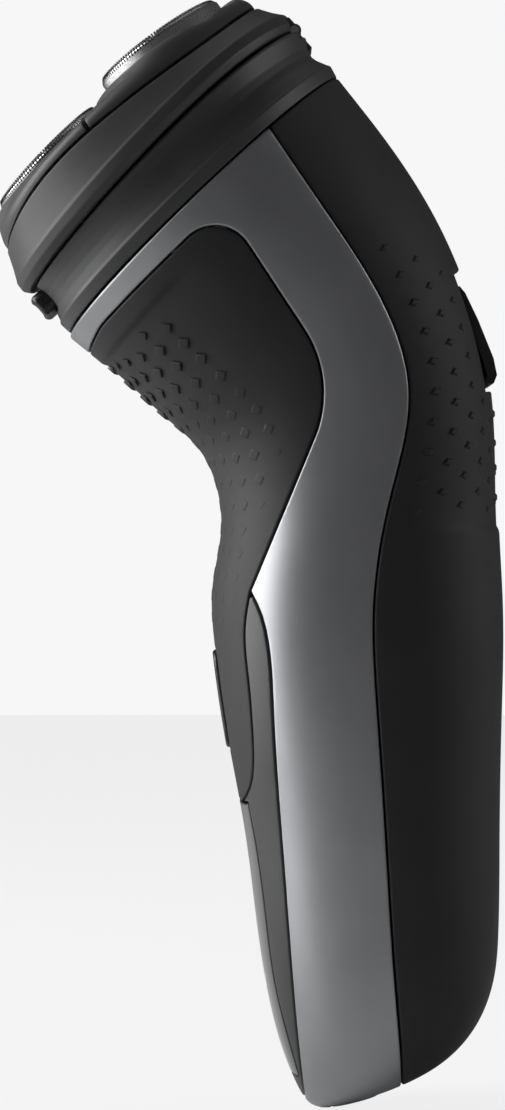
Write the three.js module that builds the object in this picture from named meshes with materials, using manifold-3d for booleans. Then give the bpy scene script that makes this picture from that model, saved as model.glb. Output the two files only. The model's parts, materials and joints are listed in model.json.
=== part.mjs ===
// Rotary electric shaver: a bent handle, a tilted shaving head with three floating cutter heads,
// a flip-out trimmer on the back and a charging socket in the base.
// Millimetres, +Z up, front towards -Y. The origin is the middle of the charging socket's floor.
import * as THREE from 'three';
import { mergeVertices } from 'three/addons/utils/BufferGeometryUtils.js';
import Module from 'manifold-3d';

const wasm = await Module();
wasm.setup();

// ---- driving dimensions ------------------------------------------------------------------------

const WALL = 2.2;            // thickness of the handle's shells
const UNIT_WALL = 1.5;       // thickness of the shaving unit's body
const GAP = 0.3;             // clearance between neighbouring pieces
const HALF_GAP = GAP / 2;
const RING_POINTS = 20;      // points round each lofted section
const STEPS_PER_SPAN = 1.5;  // lofted sections for each stretch between two control sections

const HEAD_TILT = THREE.MathUtils.degToRad(42);
const HEAD_CENTRE = { y: -23.5, z: 126.7 };
const SPINDLE_CIRCLE = 14.3; // radius of the circle that the three spindles stand on
const DRIVE_U = 2.7;         // the motor axis, measured along the head's depth

// The handle, from the base up. Each row is one section: its front point, its rear point (y, z),
// its half width, how far its sides bow up, and the exponent of its superellipse.
const HANDLE_SECTIONS = [
  { front: [-6.6, -7.7], rear: [4.5, -4.9], half: 8, crown: 0, power: 2.2 },
  { front: [-8.5, -6.3], rear: [12.3, -0.7], half: 16, crown: 0, power: 2.3 },
  { front: [-10.4, -2.6], rear: [16.6, 3.7], half: 20, crown: 0, power: 2.4 },
  { front: [-12.5, 3.4], rear: [19.3, 9.4], half: 22.4, crown: 0, power: 2.5 },
  { front: [-14.9, 15.0], rear: [20.5, 18.0], half: 24, crown: 0, power: 2.6 },
  { front: [-17.1, 31.9], rear: [20.7, 32.5], half: 25, crown: 0, power: 2.6 },
  { front: [-19.8, 46.9], rear: [20.8, 50.0], half: 25.4, crown: 0, power: 2.6 },
  { front: [-21.9, 61.5], rear: [20.8, 68.0], half: 25.2, crown: 0, power: 2.5 },
  { front: [-22.2, 70.0], rear: [20.2, 81.0], half: 24.6, crown: 0, power: 2.4 },
  { front: [-20.9, 80.5], rear: [19.7, 97.0], half: 24, crown: 0, power: 2.4 },
  { front: [-23.1, 88.8], rear: [17.7, 108.4], half: 24, crown: 0, power: 2.3 },
  { front: [-29.0, 94.9], rear: [12.0, 123.4], half: 25, crown: 0.3, power: 2.3 },
  { front: [-37.0, 101.9], rear: [3.0, 137.7], half: 26.8, crown: 0.9, power: 2.2 },
  { front: [-43.4, 107.2], rear: [-3.5, 146.0], half: 27.6, crown: 1.3, power: 2.2 },
];
const BASE_INNER_SPAN = 1.1; // the handle's hollow starts this many control sections above the base

// Rings of the head, from below, in the head's own frame: u runs to the rear, n up out of the head.
const COLLAR_SECTIONS = [
  { front: [-27.6, -0.5], rear: [27.7, 1.2], half: 27.6, crown: 1.3, power: 2.2 },
  { front: [-27.2, 1.7], rear: [27.9, 3.0], half: 28.0, crown: 1.4, power: 2.2 },
  { front: [-26.6, 4.3], rear: [26.7, 6.0], half: 27.8, crown: 1.5, power: 2.2 },
  { front: [-27.2, 6.5], rear: [28.2, 8.3], half: 28.6, crown: 1.6, power: 2.2 },
  { front: [-27.4, 7.2], rear: [28.4, 9.7], half: 28.8, crown: 1.6, power: 2.2 },
];
const UNIT_SECTIONS = [
  { front: [-27.8, 7.8], rear: [27.8, 10.1], half: 28.5, crown: 1.6, power: 2.2 },
  { front: [-28.5, 8.8], rear: [28.4, 11.2], half: 29.3, crown: 1.7, power: 2.2 },
  { front: [-28.4, 10.1], rear: [28.2, 13.0], half: 29.1, crown: 2.0, power: 2.2 },
  { front: [-27.0, 12.3], rear: [27.0, 14.6], half: 28.3, crown: 2.4, power: 2.2 },
  { front: [-26.2, 14.3], rear: [25.9, 16.3], half: 27.6, crown: 2.6, power: 2.2 },
];
const DOME_SECTIONS = [
  { front: [-26.3, 15.0], rear: [25.7, 17.0], half: 27.5, crown: 2.6, power: 2.2 },
  { front: [-25.6, 16.7], rear: [25.4, 18.1], half: 27.0, crown: 2.4, power: 2.2 },
  { front: [-24.4, 17.6], rear: [24.5, 19.0], half: 26.0, crown: 2.1, power: 2.2 },
  { front: [-21.5, 18.3], rear: [21.5, 19.5], half: 23.0, crown: 1.3, power: 2.1 },
  { front: [-12.5, 19.5], rear: [13.0, 20.2], half: 14.0, crown: 0.5, power: 2.0 },
  { front: [-4.0, 20.5], rear: [5.0, 20.8], half: 5.0, crown: 0, power: 2.0 },
];

// Side outlines of the handle's panels as (y, z) points.
const BACK_LINE = [
  [-20, 146], [-14.2, 137.3], [-4.9, 123.7], [3.0, 111.0], [6.6, 98.5], [3.8, 83.0], [1.3, 66.0],
  [1.8, 53.0], [3.2, 32.0], [4.3, 15.0], [5.6, 0], [6.4, -12],
];
const GRIP_TIP = [-16.6, 69.4];
const GRIP_CORNERS = [
  { at: GRIP_TIP, radius: 0 },
  { at: [-3.9, 99.9], radius: 16.5 },
  { at: [-20.6, 125.0], radius: 5.6 },
  { at: [-38.6, 108.0], radius: 6 },
  { at: [-46, 97], radius: 0 },
];
const GRIP_LOWER_LINE = [[-17.6, 38.4], [-16.4, 42.1], [-16.1, 46.5], [-16.9, 56.6], [-17.4, 64.0]];
const DISPLAY_LINE = [[-17.0, 38.4], [-15.9, 33.0], [-14.3, 21.6], [-12.9, 11.5], [-10.9, 3.4], [-9.4, -2.0]];
const TRIM_REAR_LINE = [
  [-8.2, -8.5], [-9.7, 4.5], [-11.6, 27.6], [-13.3, 52.2], [-14.2, 63.0], [-15.2, 66.6],
];
const DISPLAY_BOTTOM = -2.4;
const OUTSIDE = 60;          // far enough to be outside the body
const BELOW = -12;           // a height under the base

const DISPLAY_WALL = 1.2;
const SOCKET = { holeX: 6.3, holeY: 4.3, x: 6, y: 4, recessX: 4.5, recessY: 2.6, top: 8 };
const CONTACT = { x: 2.4, radius: 0.8, clearance: 0.3, low: 0.2, high: 10 };
const BATTERY = { radius: 7, y: 6, low: 20, high: 82 };
const BOARD = { half: 15.5, front: -8.6, rear: -7, low: 13, high: 84 };
const SCREWS = { circle: 18, shaft: 1.1, head: 2.2, turns: [-30, 90, 210] };
const BUTTON = { low: 45.7, high: 60.5, half: 5.6, proud: 0.45, travel: 0.8 };
const RELEASE = { low: 3.2, high: 6.9, half: 6.5, face: -28.6 };
const HINGE = { u: 27.2, n: 10.0, barrel: 1.5, pin: 0.7, middle: 3.9, half: 9.2 };
const TRIMMER = { y: 14.2, z: 114.8, tilt: THREE.MathUtils.degToRad(-17.2), length: 15.6, half: 9.6 };
const TRIMMER_PIVOT = { p: 0.9, q: -2.3, pin: 0.7, bore: 1.0, hub: 1.55, pinHalf: 11.3 };
const TRIMMER_BAY = { half: 10.2, low: -2.1, high: 16.5, floor: -4.8, wall: 1.7 };

const CAP = { radius: 10.4, wall: 0.6, above: 1.6, below: 1.0, top: 0.5 };
// Each cutter head stands at a turn round the motor axis and leans towards a direction of its own.
const LOBES = [
  { name: 'front', turn: -90, lean: 1, toward: -90, reach: 6.0 },
  { name: 'right', turn: 30, lean: 6.6, toward: 104, reach: 7.2 },
  { name: 'left', turn: 150, lean: 6.6, toward: 76, reach: 7.2 },
];
const LOBE_GAP = 0.5;        // half the slot between two lobes
const LOBE_MEETING = 2;      // where the three slots meet, along u
const SIDE_SLOT_END = [32, -7.5];

const GEAR_TEETH = 18;
const PINION_TEETH = 12;
const GEAR_MODULE = (2 * SPINDLE_CIRCLE) / (GEAR_TEETH + PINION_TEETH);
const SPINDLE_RADIUS = 1.5;
const SPINDLE_TOP = 13.4;
const CUTTER_FOOT = 13;      // height of the cutters' feet, in the head's frame

const MATERIALS = {
  silver: [0x8f9296, 0.32, 0.85],
  rubber: [0x232427, 0.75, 0],
  satin: [0x35373a, 0.5, 0],
  trim: [0x5a5c5f, 0.42, 0.1],
  black: [0x0a0a0c, 0.25, 0],
  steel: [0xc9cbcd, 0.28, 1],
  white: [0xd9d7d0, 0.5, 0],
  board: [0x1c4a30, 0.5, 0],
  seal: [0x141414, 0.85, 0],
  wrap: [0x2c5f8a, 0.4, 0],
};

// ---- small helpers -----------------------------------------------------------------------------

function solid(geometry) {
  const bare = geometry.index ? geometry.toNonIndexed() : geometry;
  bare.deleteAttribute('normal');
  bare.deleteAttribute('uv');
  const merged = mergeVertices(bare, 1e-4);
  return new wasm.Manifold(new wasm.Mesh({
    numProp: 3,
    vertProperties: new Float32Array(merged.attributes.position.array),
    triVerts: new Uint32Array(merged.index.array),
  }));
}

function geometryOf(body) {
  const mesh = body.getMesh();
  const geometry = new THREE.BufferGeometry();
  geometry.setAttribute('position', new THREE.BufferAttribute(mesh.vertProperties.slice(), 3));
  geometry.setIndex(new THREE.BufferAttribute(mesh.triVerts.slice(), 1));
  geometry.computeVertexNormals();
  return geometry;
}

function block(x0, x1, y0, y1, z0, z1, matrix) {
  const geometry = new THREE.BoxGeometry(x1 - x0, y1 - y0, z1 - z0);
  geometry.translate((x0 + x1) / 2, (y0 + y1) / 2, (z0 + z1) / 2);
  return solid(matrix ? geometry.applyMatrix4(matrix) : geometry);
}

// A cylinder along its own frame's third axis.
function rod(radius, z0, z1, x, y, matrix, sides = 16) {
  const geometry = new THREE.CylinderGeometry(radius, radius, z1 - z0, sides);
  geometry.rotateX(Math.PI / 2).translate(x, y, (z0 + z1) / 2);
  return solid(matrix ? geometry.applyMatrix4(matrix) : geometry);
}

// A cylinder along X.
function pin(radius, x0, x1, y, z, matrix, sides = 12) {
  const geometry = new THREE.CylinderGeometry(radius, radius, x1 - x0, sides);
  geometry.rotateZ(Math.PI / 2).translate((x0 + x1) / 2, y, z);
  return solid(matrix ? geometry.applyMatrix4(matrix) : geometry);
}

// A closed profile of (radius, height) points turned about the frame's third axis.
function turned(profile, matrix, sides = 20) {
  const points = profile.map(([radius, height]) => new THREE.Vector2(radius, height));
  if (THREE.ShapeUtils.area(points) < 0) {
    points.reverse();
  }
  const geometry = new THREE.LatheGeometry(points, sides).rotateX(Math.PI / 2);
  return solid(matrix ? geometry.applyMatrix4(matrix) : geometry);
}

function plate(points, z0, z1, matrix) {
  const shape = new THREE.Shape(points.map(([x, y]) => new THREE.Vector2(x, y)));
  const geometry = new THREE.ExtrudeGeometry(shape, { depth: z1 - z0, bevelEnabled: false });
  geometry.translate(0, 0, z0);
  return solid(matrix ? geometry.applyMatrix4(matrix) : geometry);
}

// A side outline of (y, z) points extruded right through the body along X.
function sidePrism(points, half = OUTSIDE) {
  const swap = new THREE.Matrix4().makeBasis(
    new THREE.Vector3(0, 1, 0), new THREE.Vector3(0, 0, 1), new THREE.Vector3(1, 0, 0));
  return plate(points, -half, half, swap);
}

function smooth(points, count) {
  const curve = new THREE.CatmullRomCurve3(points.map(([y, z]) => new THREE.Vector3(0, y, z)));
  return curve.getPoints(count).map((point) => [point.y, point.z]);
}

// A polyline whose corners are rounded by arcs of the given radii.
function rounded(corners, steps = 5) {
  const points = [];
  corners.forEach(({ at, radius }, index) => {
    if (radius === 0) {
      points.push(at);
      return;
    }
    const corner = new THREE.Vector2(...at);
    const before = new THREE.Vector2(...corners[index - 1].at).sub(corner).normalize();
    const after = new THREE.Vector2(...corners[index + 1].at).sub(corner).normalize();
    const halfAngle = Math.acos(before.dot(after)) / 2;
    const middle = before.clone().add(after).normalize().multiplyScalar(radius / Math.sin(halfAngle));
    const centre = corner.clone().add(middle);
    const reach = radius / Math.tan(halfAngle);
    const start = corner.clone().addScaledVector(before, reach).sub(centre);
    const end = corner.clone().addScaledVector(after, reach).sub(centre);
    const sweep = Math.atan2(start.cross(end), start.dot(end));
    for (let step = 0; step <= steps; step += 1) {
      const spot = start.clone().rotateAround(new THREE.Vector2(), (sweep * step) / steps).add(centre);
      points.push([spot.x, spot.y]);
    }
  });
  return points;
}

// An outline moved outwards by a distance, or inwards by a negative one.
function grown(points, distance) {
  const turn = Math.sign(THREE.ShapeUtils.area(points.map(([x, y]) => new THREE.Vector2(x, y))));
  return points.map((point, index) => {
    const last = points[(index + points.length - 1) % points.length];
    const next = points[(index + 1) % points.length];
    const first = new THREE.Vector2(point[1] - last[1], last[0] - point[0]).normalize();
    const second = new THREE.Vector2(next[1] - point[1], point[0] - next[0]).normalize();
    const out = first.add(second).normalize();
    const stretch = Math.max(0.5, out.dot(second));
    return [point[0] + (turn * distance * out.x) / stretch, point[1] + (turn * distance * out.y) / stretch];
  });
}

// ---- lofted bodies -----------------------------------------------------------------------------

const HEAD = new THREE.Matrix4().makeBasis(
  new THREE.Vector3(1, 0, 0),
  new THREE.Vector3(0, Math.cos(HEAD_TILT), Math.sin(HEAD_TILT)),
  new THREE.Vector3(0, -Math.sin(HEAD_TILT), Math.cos(HEAD_TILT)),
).setPosition(0, HEAD_CENTRE.y, HEAD_CENTRE.z);

function inHead(x, u, n) {
  return new THREE.Vector3(x, u, n).applyMatrix4(HEAD);
}

function headToWorld(sections) {
  const place = ([u, n]) => {
    const point = inHead(0, u, n);
    return [point.y, point.z];
  };
  return sections.map((row) => ({ ...row, front: place(row.front), rear: place(row.rear) }));
}

// One ring of points: a superellipse between a front and a rear point, pulled in by an inset.
function ring({ front, rear, half, crown, power }, inset) {
  const middle = new THREE.Vector3(0, (front[0] + rear[0]) / 2, (front[1] + rear[1]) / 2);
  const depth = new THREE.Vector3(0, rear[0] - front[0], rear[1] - front[1]).multiplyScalar(0.5);
  const back = depth.clone().normalize();
  const up = new THREE.Vector3(0, -back.z, back.y);
  const points = [];
  for (let index = 0; index < RING_POINTS; index += 1) {
    const angle = (2 * Math.PI * index) / RING_POINTS;
    const across = Math.sign(Math.cos(angle)) * Math.abs(Math.cos(angle)) ** (2 / power);
    const along = Math.sign(Math.sin(angle)) * Math.abs(Math.sin(angle)) ** (2 / power);
    const point = middle.clone().addScaledVector(back, along * (depth.length() - inset));
    point.addScaledVector(up, crown * across * across);
    point.x = across * (half - inset);
    points.push(point);
  }
  return points;
}

function skin(rings) {
  const vertices = rings.flat().flatMap((point) => [point.x, point.y, point.z]);
  const faces = [];
  const corner = (level, index) => level * RING_POINTS + (index % RING_POINTS);
  for (let level = 0; level + 1 < rings.length; level += 1) {
    for (let index = 0; index < RING_POINTS; index += 1) {
      const [a, b] = [corner(level, index), corner(level, index + 1)];
      const [c, d] = [corner(level + 1, index + 1), corner(level + 1, index)];
      faces.push(a, b, c, a, c, d);
    }
  }
  [[0, true], [rings.length - 1, false]].forEach(([level, under]) => {
    const centre = new THREE.Vector3();
    rings[level].forEach((point) => centre.add(point));
    centre.divideScalar(RING_POINTS);
    const hub = vertices.length / 3;
    vertices.push(centre.x, centre.y, centre.z);
    for (let index = 0; index < RING_POINTS; index += 1) {
      const [a, b] = [corner(level, index), corner(level, index + 1)];
      faces.push(hub, under ? b : a, under ? a : b);
    }
  });
  const geometry = new THREE.BufferGeometry();
  geometry.setAttribute('position', new THREE.Float32BufferAttribute(vertices, 3));
  geometry.setIndex(faces);
  return solid(geometry);
}

function mixedSection(sections, place) {
  const curve = (pick) => new THREE.CatmullRomCurve3(sections.map(pick)).getPoint(
    place / (sections.length - 1));
  const front = curve(({ front: point }) => new THREE.Vector3(0, ...point));
  const rear = curve(({ rear: point }) => new THREE.Vector3(0, ...point));
  const size = curve(({ half, crown, power }) => new THREE.Vector3(half, crown, power));
  return { front: [front.y, front.z], rear: [rear.y, rear.z], half: size.x, crown: size.y, power: size.z };
}

function handleBody(inset, start = 0, extend = 0) {
  const top = HANDLE_SECTIONS.length - 1;
  const rings = [];
  const count = Math.ceil((top - start) * STEPS_PER_SPAN);
  for (let step = 0; step <= count; step += 1) {
    rings.push(ring(mixedSection(HANDLE_SECTIONS, start + ((top - start) * step) / count), inset));
  }
  if (extend > 0) {
    rings.push(rings[rings.length - 1].map((point) => point.clone().add(
      new THREE.Vector3(0, -Math.sin(HEAD_TILT), Math.cos(HEAD_TILT)).multiplyScalar(extend))));
  }
  return skin(rings);
}

// A hollow ring of the head: its sections outside, and the same pulled in by the wall inside.
function headRing(sections, wall) {
  const world = headToWorld(sections);
  const up = new THREE.Vector3(0, -Math.sin(HEAD_TILT), Math.cos(HEAD_TILT));
  const inner = world.map((row) => ring(row, wall));
  inner.unshift(inner[0].map((point) => point.clone().addScaledVector(up, -2)));
  inner.push(inner[inner.length - 1].map((point) => point.clone().addScaledVector(up, 2)));
  return skin(world.map((row) => ring(row, 0))).subtract(skin(inner));
}

function headCore(inset, n0, n1) {
  const row = { ...COLLAR_SECTIONS[2], crown: 0 };
  const levels = [n0, n1].map((n) => ({ ...row, front: [row.front[0], n], rear: [row.rear[0], n] }));
  return skin(headToWorld(levels).map((level) => ring(level, inset)));
}

// ---- the model ---------------------------------------------------------------------------------

const shaver = new THREE.Group();

function add(name, body, material) {
  const [color, roughness, metalness] = MATERIALS[material];
  const mesh = new THREE.Mesh(
    geometryOf(body), new THREE.MeshStandardMaterial({ color, roughness, metalness }));
  mesh.name = name;
  shaver.add(mesh);
}

const outer = handleBody(0);
const shell = outer.subtract(handleBody(WALL, BASE_INNER_SPAN, 4));

const gripOutline = [
  ...rounded(GRIP_CORNERS), [-OUTSIDE, 97], [-OUTSIDE, GRIP_LOWER_LINE[0][1]],
  ...smooth(GRIP_LOWER_LINE, 6),
];
const displayOutline = [
  ...smooth(DISPLAY_LINE, 6), [-9.4, DISPLAY_BOTTOM], [-OUTSIDE, DISPLAY_BOTTOM],
  [-OUTSIDE, DISPLAY_LINE[0][1]],
];
const trimOutline = [
  GRIP_TIP, ...smooth(GRIP_LOWER_LINE, 6).reverse(), ...smooth(DISPLAY_LINE, 6),
  [-9.4, DISPLAY_BOTTOM], [-OUTSIDE, DISPLAY_BOTTOM], [-OUTSIDE, -8.5], ...smooth(TRIM_REAR_LINE, 7),
];
const frontOutline = [GRIP_TIP, [-OUTSIDE, GRIP_TIP[1]], [-OUTSIDE, -8.5], ...smooth(TRIM_REAR_LINE, 7)];
const backOutline = [...smooth(BACK_LINE, 15), [OUTSIDE, -12], [OUTSIDE, 160], [-20, 160]];

// The trimmer's frame: p down the back, q out of it.
const TRIMMER_FRAME = new THREE.Matrix4().makeBasis(
  new THREE.Vector3(1, 0, 0),
  new THREE.Vector3(0, -Math.sin(TRIMMER.tilt), -Math.cos(TRIMMER.tilt)),
  new THREE.Vector3(0, Math.cos(TRIMMER.tilt), -Math.sin(TRIMMER.tilt)),
).setPosition(0, TRIMMER.y, TRIMMER.z);

function addPanels() {
  const buttonHole = block(
    -BUTTON.half - GAP, BUTTON.half + GAP, -OUTSIDE, -10, BUTTON.low - GAP, BUTTON.high + GAP);
  const socketHole = block(-SOCKET.holeX, SOCKET.holeX, -SOCKET.holeY, SOCKET.holeY, BELOW, 3);
  const prism = (outline, distance) => sidePrism(grown(outline, distance));
  const frame = [backOutline, gripOutline, trimOutline, displayOutline].reduce(
    (body, outline) => body.subtract(prism(outline, HALF_GAP)), shell);
  add('side_frame', frame.subtract(socketHole), 'silver');
  add('front_grip', shell.intersect(prism(gripOutline, -HALF_GAP)).subtract(buttonHole), 'rubber');

  const strips = shell.intersect(prism(trimOutline, -HALF_GAP));
  const seat = handleBody(DISPLAY_WALL + GAP, 0.7).subtract(handleBody(WALL + 0.6, 1, 4))
    .intersect(prism(displayOutline, 0.8))
    .intersect(prism(frontOutline, -HALF_GAP))
    .subtract(prism(gripOutline, HALF_GAP));
  add('front_trim', strips.add(seat), 'trim');
  const glass = outer.subtract(handleBody(DISPLAY_WALL, 0.5, 4));
  add('display_window', glass.intersect(prism(displayOutline, -HALF_GAP)), 'black');

  const { half, low, high, floor, wall } = TRIMMER_BAY;
  const bay = block(-half - 2, half + 2, low - wall, high + wall, floor - 1.6, 3, TRIMMER_FRAME)
    .intersect(handleBody(0.1));
  const recess = block(-half, half, low, high, floor, 9, TRIMMER_FRAME);
  const pinReach = TRIMMER_PIVOT.pinHalf + GAP;
  const pinHole = pin(
    TRIMMER_PIVOT.bore, -pinReach, pinReach, TRIMMER_PIVOT.p, TRIMMER_PIVOT.q, TRIMMER_FRAME);
  const back = shell.intersect(prism(backOutline, -HALF_GAP)).add(bay).subtract(recess).subtract(pinHole);
  add('back_shell', back, 'rubber');
}

function addButton() {
  const face = (grow, x, low, high) => block(-x, x, -OUTSIDE, -10, low, high)
    .intersect(handleBody(-grow)).subtract(handleBody(WALL, 1, 0));
  const cap = face(BUTTON.proud, BUTTON.half, BUTTON.low, BUTTON.high);
  const post = block(-2, 2, -18.6, -13.4, 51, 55);
  add('on_off_button', cap.add(post), 'rubber');
}

function addInside() {
  add('circuit_board', block(
    -BOARD.half, BOARD.half, BOARD.front, BOARD.rear, BOARD.low, BOARD.high), 'board');
  add('button_switch', block(-3.2, 3.2, -12.2, -8.9, 49.8, 56.2), 'steel');
  add('light_bar', block(-8, 8, -10.6, -8.9, 15, 33), 'white');
  const { radius, y, low, high } = BATTERY;
  add('battery', rod(radius, low, high, 0, y, null, 24), 'wrap');
  const [cradleLow, cradleHigh] = [low + 4, high - 4];
  const cradle = rod(radius + 1.6, cradleLow, cradleHigh, 0, y, null, 24)
    .add(block(-12, 12, BOARD.rear + 0.4, 2, cradleLow, cradleHigh))
    .subtract(rod(radius + GAP, low, high, 0, y, null, 24))
    .subtract(block(-20, 20, y + 1.5, 20, low, high));
  add('battery_cradle', cradle, 'satin');

  const { x, y: depth, recessX, recessY, top } = SOCKET;
  const socket = block(-x, x, -depth, depth, BELOW, top).intersect(handleBody(0.5))
    .subtract(block(-recessX, recessX, -recessY, recessY, BELOW, 0));
  const contacts = [['right', CONTACT.x], ['left', -CONTACT.x]];
  const bored = contacts.reduce((body, [, at]) => body.subtract(
    rod(CONTACT.radius + CONTACT.clearance, -3, 12, at, 0, null, 12)), socket);
  add('socket_block', bored, 'black');
  contacts.forEach(([name, at]) => {
    add(`charge_contact_${name}`, rod(CONTACT.radius, CONTACT.low, CONTACT.high, at, 0, null, 12), 'steel');
  });
}

// A toothed wheel: straight-sided teeth that are narrower than their spaces, so they run freely.
function toothedWheel(teeth, n0, n1, x, u, turn) {
  const pitch = (GEAR_MODULE * teeth) / 2;
  const [tip, root] = [pitch + 0.62 * GEAR_MODULE, pitch - 0.95 * GEAR_MODULE];
  const [rootHalf, tipHalf] = [0.52 * GEAR_MODULE, 0.3 * GEAR_MODULE];
  const points = [];
  for (let tooth = 0; tooth < teeth; tooth += 1) {
    const middle = turn + (2 * Math.PI * tooth) / teeth;
    [[root, -rootHalf], [tip, -tipHalf], [tip, tipHalf], [root, rootHalf]].forEach(([radius, side]) => {
      const angle = middle + side / radius;
      points.push([x + radius * Math.cos(angle), u + radius * Math.sin(angle)]);
    });
  }
  return plate(points, n0, n1, HEAD);
}

function spindleSpot(turn) {
  const angle = THREE.MathUtils.degToRad(turn);
  return [SPINDLE_CIRCLE * Math.cos(angle), DRIVE_U + SPINDLE_CIRCLE * Math.sin(angle)];
}

function addDrive() {
  const can = turned([[0, -33], [9, -33], [10, -32], [10, -9.2], [9.4, -8.6], [0, -8.6]],
    HEAD.clone().multiply(new THREE.Matrix4().makeTranslation(0, DRIVE_U, 0)), 24);
  add('motor', can, 'steel');
  const pinion = toothedWheel(PINION_TEETH, -5.2, -2.6, 0, DRIVE_U, Math.PI / PINION_TEETH);
  add('motor_pinion', pinion.add(rod(1, -8.2, -4, 0, DRIVE_U, HEAD, 12)), 'steel');

  let gearPlate = handleBody(WALL + GAP + 0.1, 9, 4).intersect(block(-OUTSIDE, OUTSIDE, -OUTSIDE,
    OUTSIDE, -7.9, -6.6, HEAD)).subtract(rod(2.4, -9, -5, 0, DRIVE_U, HEAD, 12));
  let floor = headCore(WALL + GAP + 0.2, 0.6, 2.2);
  LOBES.forEach(({ name, turn }) => {
    const [x, u] = spindleSpot(turn);
    gearPlate = gearPlate.subtract(rod(1.3, -9, -5, x, u, HEAD, 12));
    floor = floor.subtract(rod(3.1, 0, 3, x, u, HEAD, 16));
    const wheel = toothedWheel(GEAR_TEETH, -5.2, -2.6, x, u, THREE.MathUtils.degToRad(turn + 180));
    const tip = rod(1.2, SPINDLE_TOP - 3, SPINDLE_TOP, x, u, HEAD, 6);
    const shaft = rod(SPINDLE_RADIUS, -4, SPINDLE_TOP - 2, x, u, HEAD, 16);
    const foot = rod(1, -7.6, -4, x, u, HEAD, 12);
    add(`drive_gear_${name}`, wheel.add(tip).add(shaft).add(foot), 'white');
    const seal = turned([[1.8, 0.4], [2.8, 0.4], [2.8, 2.5], [1.8, 3.2], [1.8, 0.4]],
      HEAD.clone().multiply(new THREE.Matrix4().makeTranslation(x, u, 0)), 16);
    add(`spindle_seal_${name}`, seal, 'seal');
  });
  add('gear_plate', gearPlate, 'satin');
  SCREWS.turns.forEach((turn, index) => {
    const angle = THREE.MathUtils.degToRad(turn);
    const [x, u] = [SCREWS.circle * Math.cos(angle), DRIVE_U + SCREWS.circle * Math.sin(angle)];
    floor = floor.subtract(rod(SCREWS.shaft + 0.4, 0, 3, x, u, HEAD, 12));
    const screw = rod(SCREWS.shaft, -1.5, 2.8, x, u, HEAD, 12)
      .add(rod(SCREWS.head, 2.5, 3.7, x, u, HEAD, 12));
    add(`floor_screw_${index + 1}`, screw, 'steel');
  });
  add('chamber_floor', floor, 'satin');
}

function addCollar() {
  const notch = block(-RELEASE.half - GAP, RELEASE.half + GAP, -32, -22, RELEASE.low - GAP, 9, HEAD);
  const hingeCut = block(-HINGE.half - 0.3, HINGE.half + 0.3, 24.6, 31, 8.1, 13, HEAD);
  const knuckle = pin(HINGE.barrel, -HINGE.middle, HINGE.middle, HINGE.u, HINGE.n, HEAD)
    .add(block(-HINGE.middle, HINGE.middle, 26, 28.2, 6.6, 9.8, HEAD));
  const collar = headRing(COLLAR_SECTIONS, WALL).subtract(notch).subtract(hingeCut).add(knuckle)
    .subtract(pin(HINGE.pin + GAP, -HINGE.half, HINGE.half, HINGE.u, HINGE.n, HEAD));
  add('collar', collar, 'satin');

  const button = block(-RELEASE.half, RELEASE.half, RELEASE.face, -25.4, RELEASE.low, RELEASE.high, HEAD)
    .add(block(-RELEASE.half + 2, RELEASE.half - 2, -25.6, -23.2, RELEASE.low, RELEASE.high + 2.2, HEAD));
  add('release_button', button, 'black');
  add('release_leaf', block(-5, 5, -21.6, -21.0, 2.6, 7.4, HEAD), 'steel');
}

function addUnit() {
  const middleCut = pin(2.1, -HINGE.middle - 0.4, HINGE.middle + 0.4, HINGE.u, HINGE.n, HEAD);
  const middleBlock = block(-HINGE.middle - 0.4, HINGE.middle + 0.4, 24, 31, 6, HINGE.n + 0.4, HEAD);
  const barrels = [-1, 1].map((side) => {
    const [near, far] = [side * (HINGE.middle + 0.5), side * HINGE.half];
    const [x0, x1] = [Math.min(near, far), Math.max(near, far)];
    return pin(HINGE.barrel, x0, x1, HINGE.u, HINGE.n, HEAD)
      .add(block(x0, x1, 25.8, 28.1, HINGE.n, 12.2, HEAD));
  });
  const unit = barrels.reduce((body, barrel) => body.add(barrel), headRing(UNIT_SECTIONS, UNIT_WALL))
    .subtract(middleCut).subtract(middleBlock)
    .subtract(pin(HINGE.pin + GAP, -HINGE.half - 1, HINGE.half + 1, HINGE.u, HINGE.n, HEAD));
  add('unit_body', unit, 'satin');
  add('unit_hinge_pin', pin(HINGE.pin, -HINGE.half, HINGE.half, HINGE.u, HINGE.n, HEAD), 'steel');

  let frame = headCore(2.6, 10.9, 12.1);
  LOBES.forEach(({ turn }) => {
    frame = frame.subtract(rod(4.6, 10, 13, ...spindleSpot(turn), HEAD, 20));
  });
  frame = frame.subtract(block(-10, 10, 22.2, 30, 10, 13, HEAD));
  add('retaining_frame', frame, 'white');
  const wings = block(-5.2, 5.2, DRIVE_U - 0.8, DRIVE_U + 0.8, 8.6, 9.6, HEAD);
  add('lock_dial', rod(5.6, 9.4, 10.6, 0, DRIVE_U, HEAD, 24).add(wings), 'white');
}

// The part of the dome that belongs to one lobe, as an outline in the head's plane.
function lobeOutline(name) {
  const [endX, endU] = SIDE_SLOT_END;
  const slope = new THREE.Vector2(endX, endU - LOBE_MEETING).normalize();
  const shift = [-slope.y * LOBE_GAP, slope.x * LOBE_GAP];
  if (name === 'front') {
    const tip = LOBE_MEETING - LOBE_GAP / slope.x;
    return [[0, tip], [-endX - shift[0], endU - shift[1]], [-endX, -40], [endX, -40],
      [endX - shift[0], endU - shift[1]]];
  }
  const side = name === 'right' ? 1 : -1;
  const inner = LOBE_MEETING + LOBE_GAP / slope.x + (LOBE_GAP * slope.y) / slope.x;
  const points = [[LOBE_GAP, inner], [endX + shift[0], endU + shift[1]], [endX, 40], [LOBE_GAP, 40]];
  return points.map(([x, u]) => [side * x, u]);
}

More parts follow.
